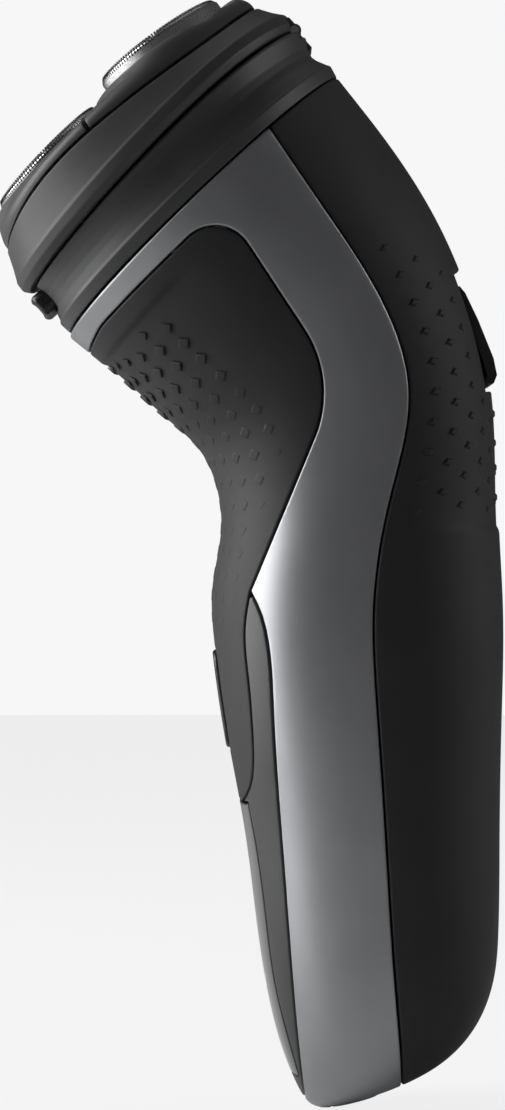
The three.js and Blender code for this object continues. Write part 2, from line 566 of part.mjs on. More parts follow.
// The cutter head's own frame: it stands on the spindle's tip and leans a little.
function cutterFrame({ turn, lean, toward }) {
  const [x, u] = spindleSpot(turn);
  const angle = THREE.MathUtils.degToRad(toward);
  const axis = new THREE.Vector3(-Math.sin(angle), Math.cos(angle), 0);
  const tip = new THREE.Matrix4().makeRotationAxis(axis, THREE.MathUtils.degToRad(lean));
  return HEAD.clone().multiply(new THREE.Matrix4().makeTranslation(x, u, CUTTER_FOOT)).multiply(tip);
}

function addCutterHead(lobe, dome) {
  const frame = cutterFrame(lobe);
  const base = lobe.reach;
  const holder = dome.intersect(plate(lobeOutline(lobe.name), 5, 30, HEAD))
    .subtract(rod(CAP.radius + 0.35, -6, 16, 0, 0, frame, 24));
  add(`cap_holder_${lobe.name}`, holder, 'satin');
  const [inner, top] = [CAP.radius - CAP.wall, base + CAP.above];
  const cap = turned([
    [0, top], [9.8, top], [CAP.radius, top - 0.6], [CAP.radius, base - CAP.below],
    [inner, base - CAP.below], [inner, top - CAP.top], [0, top - CAP.top],
  ], frame);
  add(`cap_${lobe.name}`, cap, 'steel');
  const cutter = turned([
    [0, base - 0.9], [5.6, base - 0.9], [6, base + 0.7], [9.2, base + 0.7], [9.2, base - 1.6],
    [3.2, base - 1.9], [3.2, -0.6], [2.1, -0.6], [2.1, 1.2], [0, 1.2],
  ], frame, 16);
  add(`cutter_${lobe.name}`, cutter, 'steel');
}

function addTrimmer() {
  const { length, half } = TRIMMER;
  const side = new THREE.Matrix4().makeBasis(
    new THREE.Vector3(0, 1, 0), new THREE.Vector3(0, 0, 1), new THREE.Vector3(1, 0, 0));
  const slice = (points, x) => plate(points, -x, x, TRIMMER_FRAME.clone().multiply(side));
  const lid = slice([
    [0.4, -0.7], [length - 3.2, -0.6], [length - 0.4, -0.3], [length, 0.2], [length, 0.7],
    [length - 1.0, 1.5], [length - 3.5, 1.75], [6, 1.25], [1.6, 0.6], [0.4, 0.1],
  ], half);
  const core = slice([[1.6, -3.0], [length - 5, -3.0], [length - 5, -0.4], [1.6, -0.4]], half - 1.2);
  const { p, q, hub, bore, pin: pinRadius, pinHalf } = TRIMMER_PIVOT;
  const barrel = pin(hub, 1 - half, half - 1, p, q, TRIMMER_FRAME);
  const hole = pin(bore, -half - 1, half + 1, p, q, TRIMMER_FRAME);
  add('trimmer_cover', lid.add(core).add(barrel).subtract(hole), 'rubber');
  add('trimmer_pin', pin(pinRadius, -pinHalf, pinHalf, p, q, TRIMMER_FRAME), 'steel');

  const comb = (p0, root, tip, q0, q1, width, teeth) => {
    const pitch = (2 * width) / teeth;
    const points = [[-width, p0], [width, p0]];
    for (let tooth = teeth; tooth > 0; tooth -= 1) {
      const right = -width + pitch * tooth;
      points.push([right, tip], [right - pitch * 0.55, tip], [right - pitch * 0.55, root]);
      if (tooth > 1) {
        points.push([right - pitch, root]);
      }
    }
    points.push([-width, root]);
    return plate(points, q0, q1, TRIMMER_FRAME);
  };
  add('trimmer_guard', comb(length - 4.6, length - 2, length - 0.5, -3.2, -2.6, 8.3, 14), 'steel');
  add('trimmer_blade', comb(length - 4.2, length - 2.2, length - 0.9, -2.2, -1.7, 7.3, 11), 'steel');
}

addPanels();
addButton();
addInside();
addDrive();
addCollar();
addUnit();
const domeBody = skin(headToWorld(DOME_SECTIONS).map((row) => ring(row, 0)));
LOBES.forEach((lobe) => addCutterHead(lobe, domeBody));
addTrimmer();

export default shaver;
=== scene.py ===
import json
import math

import bmesh
import bpy
import numpy as np
from mathutils import Matrix, Vector


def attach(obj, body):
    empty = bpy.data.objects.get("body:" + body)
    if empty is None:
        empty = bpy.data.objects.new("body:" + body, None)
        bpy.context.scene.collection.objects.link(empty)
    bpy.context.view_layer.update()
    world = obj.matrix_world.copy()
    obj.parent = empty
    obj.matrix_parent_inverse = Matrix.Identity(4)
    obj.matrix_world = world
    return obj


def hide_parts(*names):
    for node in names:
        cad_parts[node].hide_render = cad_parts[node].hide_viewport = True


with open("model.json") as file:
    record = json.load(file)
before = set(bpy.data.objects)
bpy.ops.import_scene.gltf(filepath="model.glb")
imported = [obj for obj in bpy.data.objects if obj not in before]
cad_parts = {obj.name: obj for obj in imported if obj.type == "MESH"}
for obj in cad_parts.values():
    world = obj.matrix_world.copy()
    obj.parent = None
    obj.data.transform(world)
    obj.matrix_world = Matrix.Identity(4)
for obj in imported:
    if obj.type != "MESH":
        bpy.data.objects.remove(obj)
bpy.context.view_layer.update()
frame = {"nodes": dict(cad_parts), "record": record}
NODES = frame["nodes"]

# ---- shape of the shaver, in millimetres, in the frame's own axes ----
# Each handle section: front point (y, z), rear point (y, z), half width, bow of the sides, power.
HANDLE = [
    (-6.6, -7.7, 4.5, -4.9, 8.0, 0.0, 2.2),
    (-8.5, -6.3, 12.3, -0.7, 16.0, 0.0, 2.3),
    (-10.4, -2.6, 16.6, 3.7, 20.0, 0.0, 2.4),
    (-12.5, 3.4, 19.3, 9.4, 22.4, 0.0, 2.5),
    (-14.9, 15.0, 20.5, 18.0, 24.0, 0.0, 2.6),
    (-17.1, 31.9, 20.7, 32.5, 25.0, 0.0, 2.6),
    (-19.8, 46.9, 20.8, 50.0, 25.4, 0.0, 2.6),
    (-21.9, 61.5, 20.8, 68.0, 25.2, 0.0, 2.5),
    (-22.2, 70.0, 20.2, 81.0, 24.6, 0.0, 2.4),
    (-20.9, 80.5, 19.7, 97.0, 24.0, 0.0, 2.4),
    (-23.1, 88.8, 17.7, 108.4, 24.0, 0.0, 2.3),
    (-29.0, 94.9, 12.0, 123.4, 25.0, 0.3, 2.3),
    (-37.0, 101.9, 3.0, 137.7, 26.8, 0.9, 2.2),
    (-43.4, 107.2, -3.5, 146.0, 27.6, 1.3, 2.2),
]
HEAD_TILT = math.radians(42)
HEAD_CENTRE = (-23.5, 126.7)
DRIVE_U = 2.7
SPINDLE_CIRCLE = 14.3

# The head's own axes are x, u (rearward along its plane) and n (out of it). Its rings, from below:
# front (u, n), rear (u, n), half width, bow of the sides, power, and how much more they bow at the rear.
COLLAR = [
    (-27.35, -0.45, 27.65, 1.0, 27.35, 0.45, 2.2, 0.0),
    (-27.45, -0.3, 27.8, 1.15, 27.45, 0.45, 2.2, 0.0),
    (-27.6, 1.4, 28.2, 2.85, 27.95, 0.45, 2.2, 0.1),
    (-27.3, 1.7, 27.95, 3.2, 27.7, 0.5, 2.2, 0.1),
    (-26.85, 3.2, 27.2, 4.8, 27.25, 0.7, 2.2, 0.3),
    (-26.7, 4.3, 27.0, 5.7, 27.05, 0.9, 2.2, 0.4),
    (-26.75, 5.6, 27.3, 6.9, 27.05, 1.1, 2.2, 0.5),
    (-27.0, 6.7, 28.1, 8.2, 27.25, 1.2, 2.2, 0.6),
    (-27.2, 7.3, 28.6, 9.2, 27.5, 1.2, 2.2, 0.6),
    (-27.1, 7.5, 28.5, 9.5, 27.4, 1.2, 2.2, 0.6),
    (-26.7, 7.6, 28.0, 9.65, 27.0, 1.2, 2.2, 0.6),
]
UNIT = [
    (-27.3, 7.85, 27.5, 10.05, 28.1, 1.15, 2.2, 0.7),
    (-27.75, 7.9, 27.8, 10.15, 28.55, 1.15, 2.2, 0.7),
    (-28.45, 8.8, 28.4, 11.1, 29.25, 1.15, 2.2, 0.7),
    (-28.5, 8.95, 28.4, 11.3, 29.3, 1.15, 2.2, 0.7),
    (-28.42, 10.15, 28.25, 12.9, 29.2, 1.1, 2.2, 0.6),
    (-28.2, 10.5, 27.9, 13.3, 28.95, 1.1, 2.2, 0.4),
    (-27.45, 12.0, 27.1, 14.4, 28.35, 1.45, 2.2, -0.8),
    (-26.6, 13.9, 26.2, 15.9, 27.75, 1.65, 2.2, -2.3),
    (-26.42, 14.4, 25.97, 16.4, 27.57, 1.7, 2.2, -2.65),
    (-26.3, 14.35, 25.85, 16.35, 27.45, 1.7, 2.2, -2.7),
    (-26.2, 13.3, 25.75, 15.3, 27.35, 1.7, 2.2, -2.7),
    (-24.9, 12.7, 24.6, 14.7, 26.1, 1.7, 2.2, -2.7),
]
DOME = [
    (-25.95, 14.82, 25.5, 16.95, 27.1, 1.7, 2.2, -2.7),
    (-25.9, 15.7, 25.55, 17.6, 27.05, 1.5, 2.2, -2.2),
    (-25.35, 16.9, 25.25, 18.6, 26.65, 1.2, 2.2, -1.5),
    (-24.3, 18.0, 24.5, 19.5, 25.8, 0.8, 2.2, -0.5),
    (-22.3, 19.3, 22.4, 20.25, 23.8, 0.25, 2.2, 0.5),
    (-19.0, 20.1, 19.2, 20.75, 20.3, -0.25, 2.1, 0.35),
    (-12.5, 20.35, 13.0, 20.9, 14.0, 0.0, 2.0, 0.0),
    (-4.0, 20.6, 5.0, 20.9, 5.0, 0.0, 2.0, 0.0),
    (-1.4, 20.7, 2.4, 20.8, 1.9, 0, 2.0, 0),
    (0.45, 20.75, 0.55, 20.76, 0.05, 0, 2.0, 0),
]

# Side outlines as (y, z): the lines between the handle's panels.
BACK_LINE = [
    (-20, 146), (-14.2, 137.3), (-4.9, 123.7), (3.0, 111.0), (6.6, 98.5), (3.8, 83.0), (1.3, 66.0),
    (1.8, 53.0), (3.2, 32.0), (4.3, 15.0), (5.6, 0), (6.4, -12),
]
GRIP_TIP = (-16.6, 69.4)
GRIP_CORNERS = [
    (GRIP_TIP, 0), ((-3.9, 99.9), 16.5), ((-20.6, 125.0), 5.6), ((-38.6, 108.0), 6), ((-46, 97), 0),
]
GRIP_LOWER_LINE = [
    (-17.8, 38.2), (-16.7, 40.4), (-16.2, 43.0), (-16.2, 47.5), (-16.9, 56.6), (-17.4, 64.0), GRIP_TIP,
]
DISPLAY_LINE = [
    (-16.9, 38.2), (-15.9, 33.0), (-14.3, 21.6), (-12.9, 11.5), (-10.9, 3.4), (-9.4, -2.0),
]
TRIM_REAR_LINE = [
    (-8.2, -8.5), (-9.7, 4.5), (-11.6, 27.6), (-13.3, 52.2), (-14.2, 63.0), (-15.2, 66.6), GRIP_TIP,
]
DISPLAY_BOTTOM = -2.4
OUTSIDE = 60.0

SEAM = 0.13            # each panel stops this far short of its outline
ROUND = 0.3            # radius of the panels' rounded edges
RIM = 1.3              # how deep a panel's edge goes
BUTTON = {"low": 45.9, "high": 60.6, "half": 5.5, "corner": 2.6, "proud": 0.45}
RELEASE = {"low": 3.25, "high": 6.95, "half": 6.4, "corner": 1.3, "face": -28.75, "back": -25.4}
DISH = {"depth": 0.35, "across": 3.2, "up": 1.1, "curve": 0.012}     # of the release button's face
HINGE = {"u": 27.2, "n": 10.0, "barrel": 1.0, "middle": 3.8, "half": 9.1, "floor": 8.55, "rear": 27.9}
WALLS = {"collar": 2.0, "unit": 1.5}
UNIT_DROP = 2.2        # the unit's inner wall ends lower, to clear the tilting front holder
TRIMMER = {"y": 14.2, "z": 114.8, "tilt": math.radians(17.2), "length": 15.6, "half": 9.6,
           "middle": 7.2, "opening": 9.2, "gap": 0.5, "camber": 0.0072}
SOCKET = {"half_x": 6.3, "half_y": 4.3, "below": 5}     # its opening in the base
LIGHTS = {"across": (-5.0, 0.0, 5.0), "z": 11.6, "straight": 0.55, "radius": 0.42}
CAP_RADIUS = 10.4
CAP_ABOVE = 1.6        # of a cap's top over its cutter's reach
CAP_COLLAR = {"falls": (0.6, 4.2), "from_rows": (3, 15)}     # how the dome meets a cap
LOBES = {
    "front": {"turn": -90, "lean": 4, "toward": -90, "reach": 6.8, "shows": 0.8},
    "right": {"turn": 30, "lean": 6.6, "toward": 104, "reach": 7.2, "shows": 1.7},
    "left": {"turn": 150, "lean": 6.6, "toward": 76, "reach": 7.2, "shows": 1.7},
}
COLLAR_SEAM = {"climb": 0.0314, "rise": 0.5}     # of the collar's lower edge, rearward and at the sides
SLOT_MEETING = 2.0     # where the three slots between the lobes meet, along u
SIDE_SLOT_END = (32.0, -7.5)
LOBE_GAP = 0.32
LOBE_WALL = {"thick": 1.9, "thins": 1.7, "inset": 0.075, "rows": 16}     # it thins and leans in at the rim
CUTTER_N = 13          # height of the points that the cutters tilt about
FAR = 5.0              # stands for a distance where no edge is near
GROUND = -7.9
MM = 0.001


# ---- curves and grids ----
def natural_spline(rows, count):
    """A smooth curve through rows of numbers, at count even steps of the rows' own spacing."""
    rows = np.array(rows, float)
    steps = np.linalg.norm(np.diff(rows[:, :4], axis=0), axis=1)
    knots = np.concatenate([[0], np.cumsum(steps)])
    size = len(rows)
    system = np.eye(size)
    right = np.zeros_like(rows)
    for i in range(1, size - 1):
        a, b = steps[i - 1], steps[i]
        system[i, i - 1:i + 2] = a, 2 * (a + b), b
        right[i] = 6 * ((rows[i + 1] - rows[i]) / b - (rows[i] - rows[i - 1]) / a)
    bend = np.linalg.solve(system, right)
    places = np.linspace(0, knots[-1], count)
    spans = np.clip(np.searchsorted(knots, places, side="right") - 1, 0, size - 2)
    length = steps[spans][:, None]
    high = (places - knots[spans])[:, None] / length
    low = 1 - high
    curve = low * rows[spans] + high * rows[spans + 1]
    curve += (low**3 - low) * length**2 / 6 * bend[spans]
    curve += (high**3 - high) * length**2 / 6 * bend[spans + 1]
    return curve


def creased(rows, count, soften=2):
    """Straight runs between rows of numbers, with their corners slightly softened."""
    rows = np.array(rows, float)
    steps = np.linalg.norm(np.diff(rows[:, :4], axis=0), axis=1)
    knots = np.concatenate([[0], np.cumsum(steps)])
    places = np.linspace(0, knots[-1], count)
    line = np.stack([np.interp(places, knots, rows[:, i]) for i in range(rows.shape[1])], 1)
    for _ in range(soften):
        line[1:-1] = (line[:-2] + 2 * line[1:-1] + line[2:]) / 4
    return line


def smooth_line(points, count):
    padded = [(y, z, 0, 0) for y, z in points]
    return [tuple(row[:2]) for row in natural_spline(padded, count)]


def rounded_line(corners, steps=14):
    """A polyline with its corners rounded by arcs."""
    line = []
    for index, (at, radius) in enumerate(corners):
        if radius == 0:
            line.append(tuple(at))
            continue
        corner = np.array(at, float)
        before = np.array(corners[index - 1][0]) - corner
        after = np.array(corners[index + 1][0]) - corner
        before = before / np.linalg.norm(before)
        after = after / np.linalg.norm(after)
        half = math.acos(before @ after) / 2
        middle = (before + after) / np.linalg.norm(before + after)
        centre = corner + middle * radius / math.sin(half)
        start = corner + before * radius / math.tan(half) - centre
        end = corner + after * radius / math.tan(half) - centre
        sweep = math.atan2(start[0] * end[1] - start[1] * end[0], start @ end)
        for step in range(steps + 1):
            turn = sweep * step / steps
            c, s = math.cos(turn), math.sin(turn)
            line.append((centre[0] + c * start[0] - s * start[1], centre[1] + s * start[0] + c * start[1]))
    return line


def head_place(grid):
    """Where points lie in the head's own axes: x, u and n."""
    c, s = math.cos(HEAD_TILT), math.sin(HEAD_TILT)
    y, z = grid[..., 1] - HEAD_CENTRE[0], grid[..., 2] - HEAD_CENTRE[1]
    return grid[..., 0], y * c + z * s, -y * s + z * c


def head_rows(rows):
    """The head's sections moved from its own axes to the shaver's."""
    rows = np.array(rows, float)
    c, s = math.cos(HEAD_TILT), math.sin(HEAD_TILT)
    for at in (0, 2):
        u, n = rows[:, at].copy(), rows[:, at + 1].copy()
        rows[:, at] = HEAD_CENTRE[0] + u * c - n * s
        rows[:, at + 1] = HEAD_CENTRE[1] + u * s + n * c
    return rows


def even_angles(count, power=2.4, half=24.0, depth=21.0):
    """Angles that step evenly round a superellipse, from the front's middle all the way round."""
    fine = np.linspace(0, 2 * np.pi, 4001)
    x = half * np.sign(np.cos(fine)) * np.abs(np.cos(fine)) ** (2 / power)
    u = depth * np.sign(np.sin(fine)) * np.abs(np.sin(fine)) ** (2 / power)
    length = np.concatenate([[0], np.cumsum(np.hypot(np.diff(x), np.diff(u)))])
    return np.interp(np.linspace(0, length[-1], count, endpoint=False), length, fine)


def rings(rows, angles):
    """A grid of points [section, place round it]: one superellipse for each row."""
    rows = np.asarray(rows, float)
    front, rear = rows[:, 0:2], rows[:, 2:4]
    middle = (front + rear) / 2
    depth = (rear - front) / 2
    reach = np.linalg.norm(depth, axis=1)
    back = depth / reach[:, None]
    up = np.stack([-back[:, 1], back[:, 0]], 1)
    power = rows[:, 6][:, None]
    cos, sin = np.cos(angles)[None], np.sin(angles)[None]
    across = np.sign(cos) * np.abs(cos) ** (2 / power)
    along = np.sign(sin) * np.abs(sin) ** (2 / power)
    skew = rows[:, 7] if rows.shape[1] > 7 else np.zeros(len(rows))
    bow = (rows[:, 5][:, None] + skew[:, None] * along) * across**2
    grid = np.empty((len(rows), len(angles), 3))
    grid[..., 0] = across * rows[:, 4][:, None]
    for axis in (0, 1):
        grid[..., axis + 1] = (
            middle[:, axis][:, None] + along * depth[:, axis][:, None] + bow * up[:, axis][:, None])
    return grid


def grid_normals(grid, wrap=True):
    if wrap:
        around = (np.roll(grid, -1, 1) - np.roll(grid, 1, 1)) / 2
    else:
        around = np.gradient(grid, axis=1)
    along = np.gradient(grid, axis=0)
    normal = np.cross(around, along)
    size = np.linalg.norm(normal, axis=2, keepdims=True)
    return normal / np.maximum(size, 1e-9), around, along


def true_distance(grid, field):
    """A side-view distance turned into distance along the surface."""
    _, around, along = grid_normals(grid)
    step_around = (np.roll(field, -1, 1) - np.roll(field, 1, 1)) / 2
    step_along = np.gradient(field, axis=0)
    e = (around * around).sum(2)
    f = (around * along).sum(2)
    g = (along * along).sum(2)
    area = np.maximum(e * g - f * f, 1e-9)
    slope = (g * step_around**2 - 2 * f * step_around * step_along + e * step_along**2) / area
    return field / np.clip(np.sqrt(np.maximum(slope, 0)), 0.3, 3)


def inside_distance(first, second, outline):
    """Signed distance to a closed outline, positive inside it."""
    shape = first.shape
    px, py = first.ravel(), second.ravel()
    nearest = np.full(px.shape, 1e9)
    inside = np.zeros(px.shape, bool)
    for (x0, y0), (x1, y1) in zip(outline, outline[1:] + outline[:1]):
        dx, dy = x1 - x0, y1 - y0
        if dx == 0 and dy == 0:
            continue
        share = np.clip(((px - x0) * dx + (py - y0) * dy) / (dx * dx + dy * dy), 0, 1)
        nearest = np.minimum(nearest, np.hypot(px - x0 - share * dx, py - y0 - share * dy))
        if dy != 0:
            crosses = ((y0 > py) != (y1 > py)) & (px < dx * (py - y0) / dy + x0)
            inside ^= crosses
    return (np.where(inside, nearest, -nearest)).reshape(shape)


# ---- cutting a grid along a field ----
def triangles_of(rows, columns, wrap=True):
    level = np.arange(rows - 1)[:, None] * columns
    place = np.arange(columns if wrap else columns - 1)[None]
    following = (place + 1) % columns
    a, b = level + place, level + following
    c, d = b + columns, a + columns
    return np.concatenate([
        np.stack([a, b, c], -1).reshape(-1, 3), np.stack([a, c, d], -1).reshape(-1, 3)])


def shell(outer, inner, faces):
    """Closes a sheet of faces into a thin solid between outer and inner points."""
    count = len(outer)
    edge = faces[:, [0, 1, 1, 2, 2, 0]].reshape(-1, 2)
    _, back, uses = np.unique(np.sort(edge, axis=1), axis=0, return_inverse=True, return_counts=True)
    border = edge[uses[back.ravel()] == 1]
    walls = np.stack([border[:, 1], border[:, 0], border[:, 0] + count, border[:, 1] + count], 1)
    return np.concatenate([outer, inner]), [faces, faces[:, ::-1] + count, walls]


def split(points, faces, level, keep_outside):
    """Splits triangles where the last column of points crosses a level."""
    value = points[:, -1] - level
    value = np.where(np.abs(value) < 1e-5, 1e-5, value)
    positive = value > 0
    count = positive[faces].sum(1)
    kept = [faces[count == 3]]
    if keep_outside:
        kept.append(faces[count == 0])
    made = []
    for wanted in (1, 2):
        group = faces[count == wanted]
        if not len(group):
            continue
        odd = np.argmax(positive[group] == (wanted == 1), axis=1)
        turn = (odd[:, None] + np.arange(3)) % 3
        made.append((wanted, np.take_along_axis(group, turn, 1)))
    edges = [np.sort(group[:, pair], axis=1) for _, group in made for pair in ([0, 1], [0, 2])]
    if not edges:
        return points, np.concatenate(kept)
    unique, back = np.unique(np.concatenate(edges), axis=0, return_inverse=True)
    back = back.ravel()
    share = (value[unique[:, 0]] / (value[unique[:, 0]] - value[unique[:, 1]]))[:, None]
    fresh = points[unique[:, 0]] * (1 - share) + points[unique[:, 1]] * share
    fresh[:, -1] = level
    new = back + len(points)
    start = 0
    for wanted, group in made:
        size = len(group)
        first, second = new[start:start + size], new[start + size:start + 2 * size]
        start += 2 * size
        tip = np.stack([group[:, 0], first, second], 1)
        base = np.concatenate([
            np.stack([first, group[:, 1], group[:, 2]], 1), np.stack([first, group[:, 2], second], 1)])
        if wanted == 1 or keep_outside:
            kept.append(tip)
        if wanted == 2 or keep_outside:
            kept.append(base)
    return np.concatenate([points, fresh]), np.concatenate(kept)


def panel_mesh(grid, field, inner=None, rim=RIM, radius=ROUND, raise_by=0.0, inset=SEAM, wrap=True):
    """The part of a surface grid where field > inset, as a closed shell with rounded outer edges."""
    normal, _, _ = grid_normals(grid, wrap)
    if inner is None:
        inner = grid - normal * rim
    rows, columns = field.shape
    points = np.concatenate([grid, normal, inner, (field - inset)[..., None]], 2).reshape(rows * columns, 10)
    faces = triangles_of(rows, columns, wrap)
    points, faces = split(points, faces, 0.0, False)
    for share in (0.15, 0.5, 1.0):
        points, faces = split(points, faces, radius * share, True)
    used, faces = np.unique(faces, return_inverse=True)
    faces = faces.reshape(-1, 3)
    points = points[used]
    distance = np.clip(points[:, -1], 0, radius)
    drop = radius - np.sqrt(np.maximum(radius**2 - (radius - distance)**2, 0))
    normals = points[:, 3:6] / np.linalg.norm(points[:, 3:6], axis=1, keepdims=True)
    outer = points[:, :3] + normals * (raise_by - drop)[:, None]
    return shell(outer, points[:, 6:9], faces)


# ---- making objects ----
def joined(*parts):
    """Several (points, face lists) parts as one."""
    points, faces, start = [], [], 0
    for places, groups in parts:
        points.append(np.asarray(places, float))
        for group in groups:
            faces.append(np.asarray(group, int) + start)
        start += len(places)
    return np.concatenate(points), faces


def new_object(name, points, faces, material, sharp=35.0):
    """A mesh object from points and a list of face arrays, in millimetres."""
    mesh = bpy.data.meshes.new(name)
    lists = []
    for group in faces:
        lists.extend(np.asarray(group, int).tolist())
    mesh.from_pydata((np.asarray(points, float) * MM).tolist(), [], lists)
    mesh.validate()
    mesh.update()
    piece = bpy.data.objects.new(name, mesh)
    bpy.context.scene.collection.objects.link(piece)
    mesh.materials.append(material)
    tidy_mesh(mesh, sharp)
    return piece


def tidy_mesh(mesh, sharp):
    work = bmesh.new()
    work.from_mesh(mesh)
    bmesh.ops.remove_doubles(work, verts=work.verts, dist=0.000008)
    loose = [v for v in work.verts if not v.link_faces]
    bmesh.ops.delete(work, geom=loose, context="VERTS")
    for face in work.faces:
        face.smooth = True
    limit = math.radians(sharp)
    for edge in work.edges:
        edge.smooth = not (edge.is_manifold and edge.calc_face_angle(0) > limit)
    work.to_mesh(mesh)
    work.free()


# ---- materials ----
def link(tree, a, out, b, into):
    tree.links.new(a.outputs[out], b.inputs[into])


def node(tree, kind, **inputs):
    made = tree.nodes.new(kind)
    for name, value in inputs.items():
        made.inputs[name.replace("_", " ")].default_value = value
    return made


def object_noise(tree, scale, detail=3.0, stretch=(1, 1, 1)):
    place = tree.nodes.new("ShaderNodeTexCoord")
    mapping = node(tree, "ShaderNodeMapping", Scale=stretch)
    noise = node(tree, "ShaderNodeTexNoise", Scale=scale, Detail=detail)
    link(tree, place, "Object", mapping, "Vector")
    link(tree, mapping, "Vector", noise, "Vector")
    return noise


def colour_mix(tree, share, low, high):
    """Two colours mixed by a socket; the first may be a socket too."""
    mix = tree.nodes.new("ShaderNodeMix")
    mix.data_type = "RGBA"
    if isinstance(low, tuple):
        mix.inputs[6].default_value = (*low, 1)
    else:
        tree.links.new(low, mix.inputs[6])
    mix.inputs[7].default_value = (*high, 1)
    tree.links.new(share, mix.inputs["Factor"])
    return mix.outputs[2]


def shader_mix(tree, share, first, second, output):
    """Shows the first shader, and the second as far as a socket says."""
    mix = tree.nodes.new("ShaderNodeMixShader")
    tree.links.new(share, mix.inputs["Fac"])
    tree.links.new(first.outputs[0], mix.inputs[1])
    tree.links.new(second.outputs[0], mix.inputs[2])
    tree.links.new(mix.outputs[0], tree.nodes[output].inputs["Surface"])


def ramped(tree, source, low=0.0, high=1.0):
    """The source's 0.3 to 0.7 spread over two values."""
    ramp = node(tree, "ShaderNodeMapRange", From_Min=0.3, From_Max=0.7, To_Min=low, To_Max=high)
    link(tree, source, "Fac", ramp, "Value")
    return ramp.outputs["Result"]


def material(name, dark, light, rough, metallic=0.0, patch=90.0, grain=4500.0, bump=0.15,
             depth=0.00003, stretch=(1, 1, 1), specular=0.5, coat=0.0, coat_rough=0.1):
    """A surface with slow colour patches, fine roughness variation and a fine bump."""
    made = bpy.data.materials.new(name)
    made.use_nodes = True
    tree = made.node_tree
    shader = tree.nodes["Principled BSDF"]
    shader.inputs["Metallic"].default_value = metallic
    shader.inputs["Specular IOR Level"].default_value = specular
    shader.inputs["Coat Weight"].default_value = coat
    shader.inputs["Coat Roughness"].default_value = coat_rough
    patches = object_noise(tree, patch, 4.0, stretch)
    tree.links.new(colour_mix(tree, ramped(tree, patches), dark, light), shader.inputs["Base Color"])
    fine = object_noise(tree, grain, 2.0, stretch)
    tree.links.new(ramped(tree, fine, *rough), shader.inputs["Roughness"])
    relief = node(tree, "ShaderNodeBump", Strength=bump, Distance=depth)
    link(tree, fine, "Fac", relief, "Height")
    link(tree, relief, "Normal", shader, "Normal")
    return made


def board_material():
    """Green solder mask with paler copper runs under it."""
    made = material("board", (0.012, 0.085, 0.03), (0.02, 0.12, 0.045), (0.3, 0.45))
    tree = made.node_tree
    shader = tree.nodes["Principled BSDF"]
    old = shader.inputs["Base Color"].links[0].from_socket
    place = tree.nodes.new("ShaderNodeTexCoord")
    runs = node(tree, "ShaderNodeTexBrick", Scale=420.0, Mortar_Size=0.06)
    runs.inputs["Color1"].default_value = (0, 0, 0, 1)
    runs.inputs["Color2"].default_value = (0, 0, 0, 1)
    runs.inputs["Mortar"].default_value = (1, 1, 1, 1)
    turn = node(tree, "ShaderNodeMapping", Rotation=(math.pi / 2, 0, 0))
    link(tree, place, "Object", turn, "Vector")
    link(tree, turn, "Vector", runs, "Vector")
    copper = colour_mix(tree, runs.outputs["Color"], old, (0.05, 0.22, 0.09))
    tree.links.new(copper, shader.inputs["Base Color"])
    return made


MATERIALS = {
    "silver": material("silver_lacquer", (0.33, 0.335, 0.35), (0.365, 0.37, 0.385), (0.38, 0.45), 0.78,
        grain=9000, bump=0.12, depth=0.00001, coat=0.25, coat_rough=0.25),
    "rubber": material("soft_rubber", (0.014, 0.014, 0.015), (0.020, 0.020, 0.0215), (0.56, 0.72),
        grain=7000, bump=0.35, depth=0.00002, specular=0.45),
    "satin": material("satin_plastic", (0.042, 0.0425, 0.044), (0.052, 0.0525, 0.054), (0.42, 0.54),
        grain=8000, bump=0.3, depth=0.000015),
    "trim": material("grey_plastic", (0.020, 0.0205, 0.0215), (0.026, 0.0265, 0.028), (0.34, 0.44),
        grain=8000, bump=0.2, depth=0.00001),
    "black": material("gloss_black", (0.003, 0.003, 0.0034), (0.0045, 0.0045, 0.005), (0.05, 0.12),
        grain=300, bump=0.03, depth=0.00001, coat=0.6, coat_rough=0.05),
    "button": material("button_plastic", (0.006, 0.006, 0.0065), (0.010, 0.010, 0.0105), (0.22, 0.34),
        grain=6000, bump=0.2, depth=0.00001),
    "steel": material("ground_steel", (0.74, 0.74, 0.75), (0.84, 0.84, 0.85), (0.16, 0.30), 1.0,
        patch=600, grain=9000, bump=0.25, depth=0.000006, stretch=(1, 1, 6)),
    "white": material("acetal", (0.62, 0.61, 0.58), (0.70, 0.69, 0.66), (0.42, 0.55),
        grain=5000, bump=0.2),
    "board": board_material(),
    "seal": material("seal_rubber", (0.012, 0.012, 0.012), (0.02, 0.02, 0.02), (0.6, 0.75), bump=0.3),
    "wrap": material("cell_wrap", (0.03, 0.13, 0.3), (0.05, 0.18, 0.38), (0.25, 0.38), coat=0.3,
        stretch=(1, 1, 0.2)),
}
SLOT_OF = {row["node"]: row["material_slot"] for row in frame["record"]["subparts"]}


# ---- the handle ----
AROUND = 260
ALONG = 330
CAP_RINGS = 16
BASE = {"sink": 0.55, "toward": (0.25, -1), "first": 0.35}     # the rounding under the base


def handle_rows():
    """The handle's sections: a rounded base, the control rows smoothed, and a little past the top."""
    table = np.array(HANDLE)
    past = table[-1] + (table[-1] - table[-2]) * 0.25
    rows = natural_spline(np.vstack([table, past]), ALONG)
    first = rows[0]
    middle = (first[0:2] + first[2:4]) / 2
    base = []
    for step in range(CAP_RINGS):
        share = math.sin(math.pi / 2 * (step + BASE["first"]) / (CAP_RINGS + BASE["first"]))
        sink = np.array(BASE["toward"]) * (BASE["sink"] * math.sqrt(1 - share**2))
        row = first.copy()
        row[0:2] = middle + (first[0:2] - middle) * share + sink
        row[2:4] = middle + (first[2:4] - middle) * share + sink
        row[4] = first[4] * share
        base.append(row)
    return np.concatenate([base, rows])


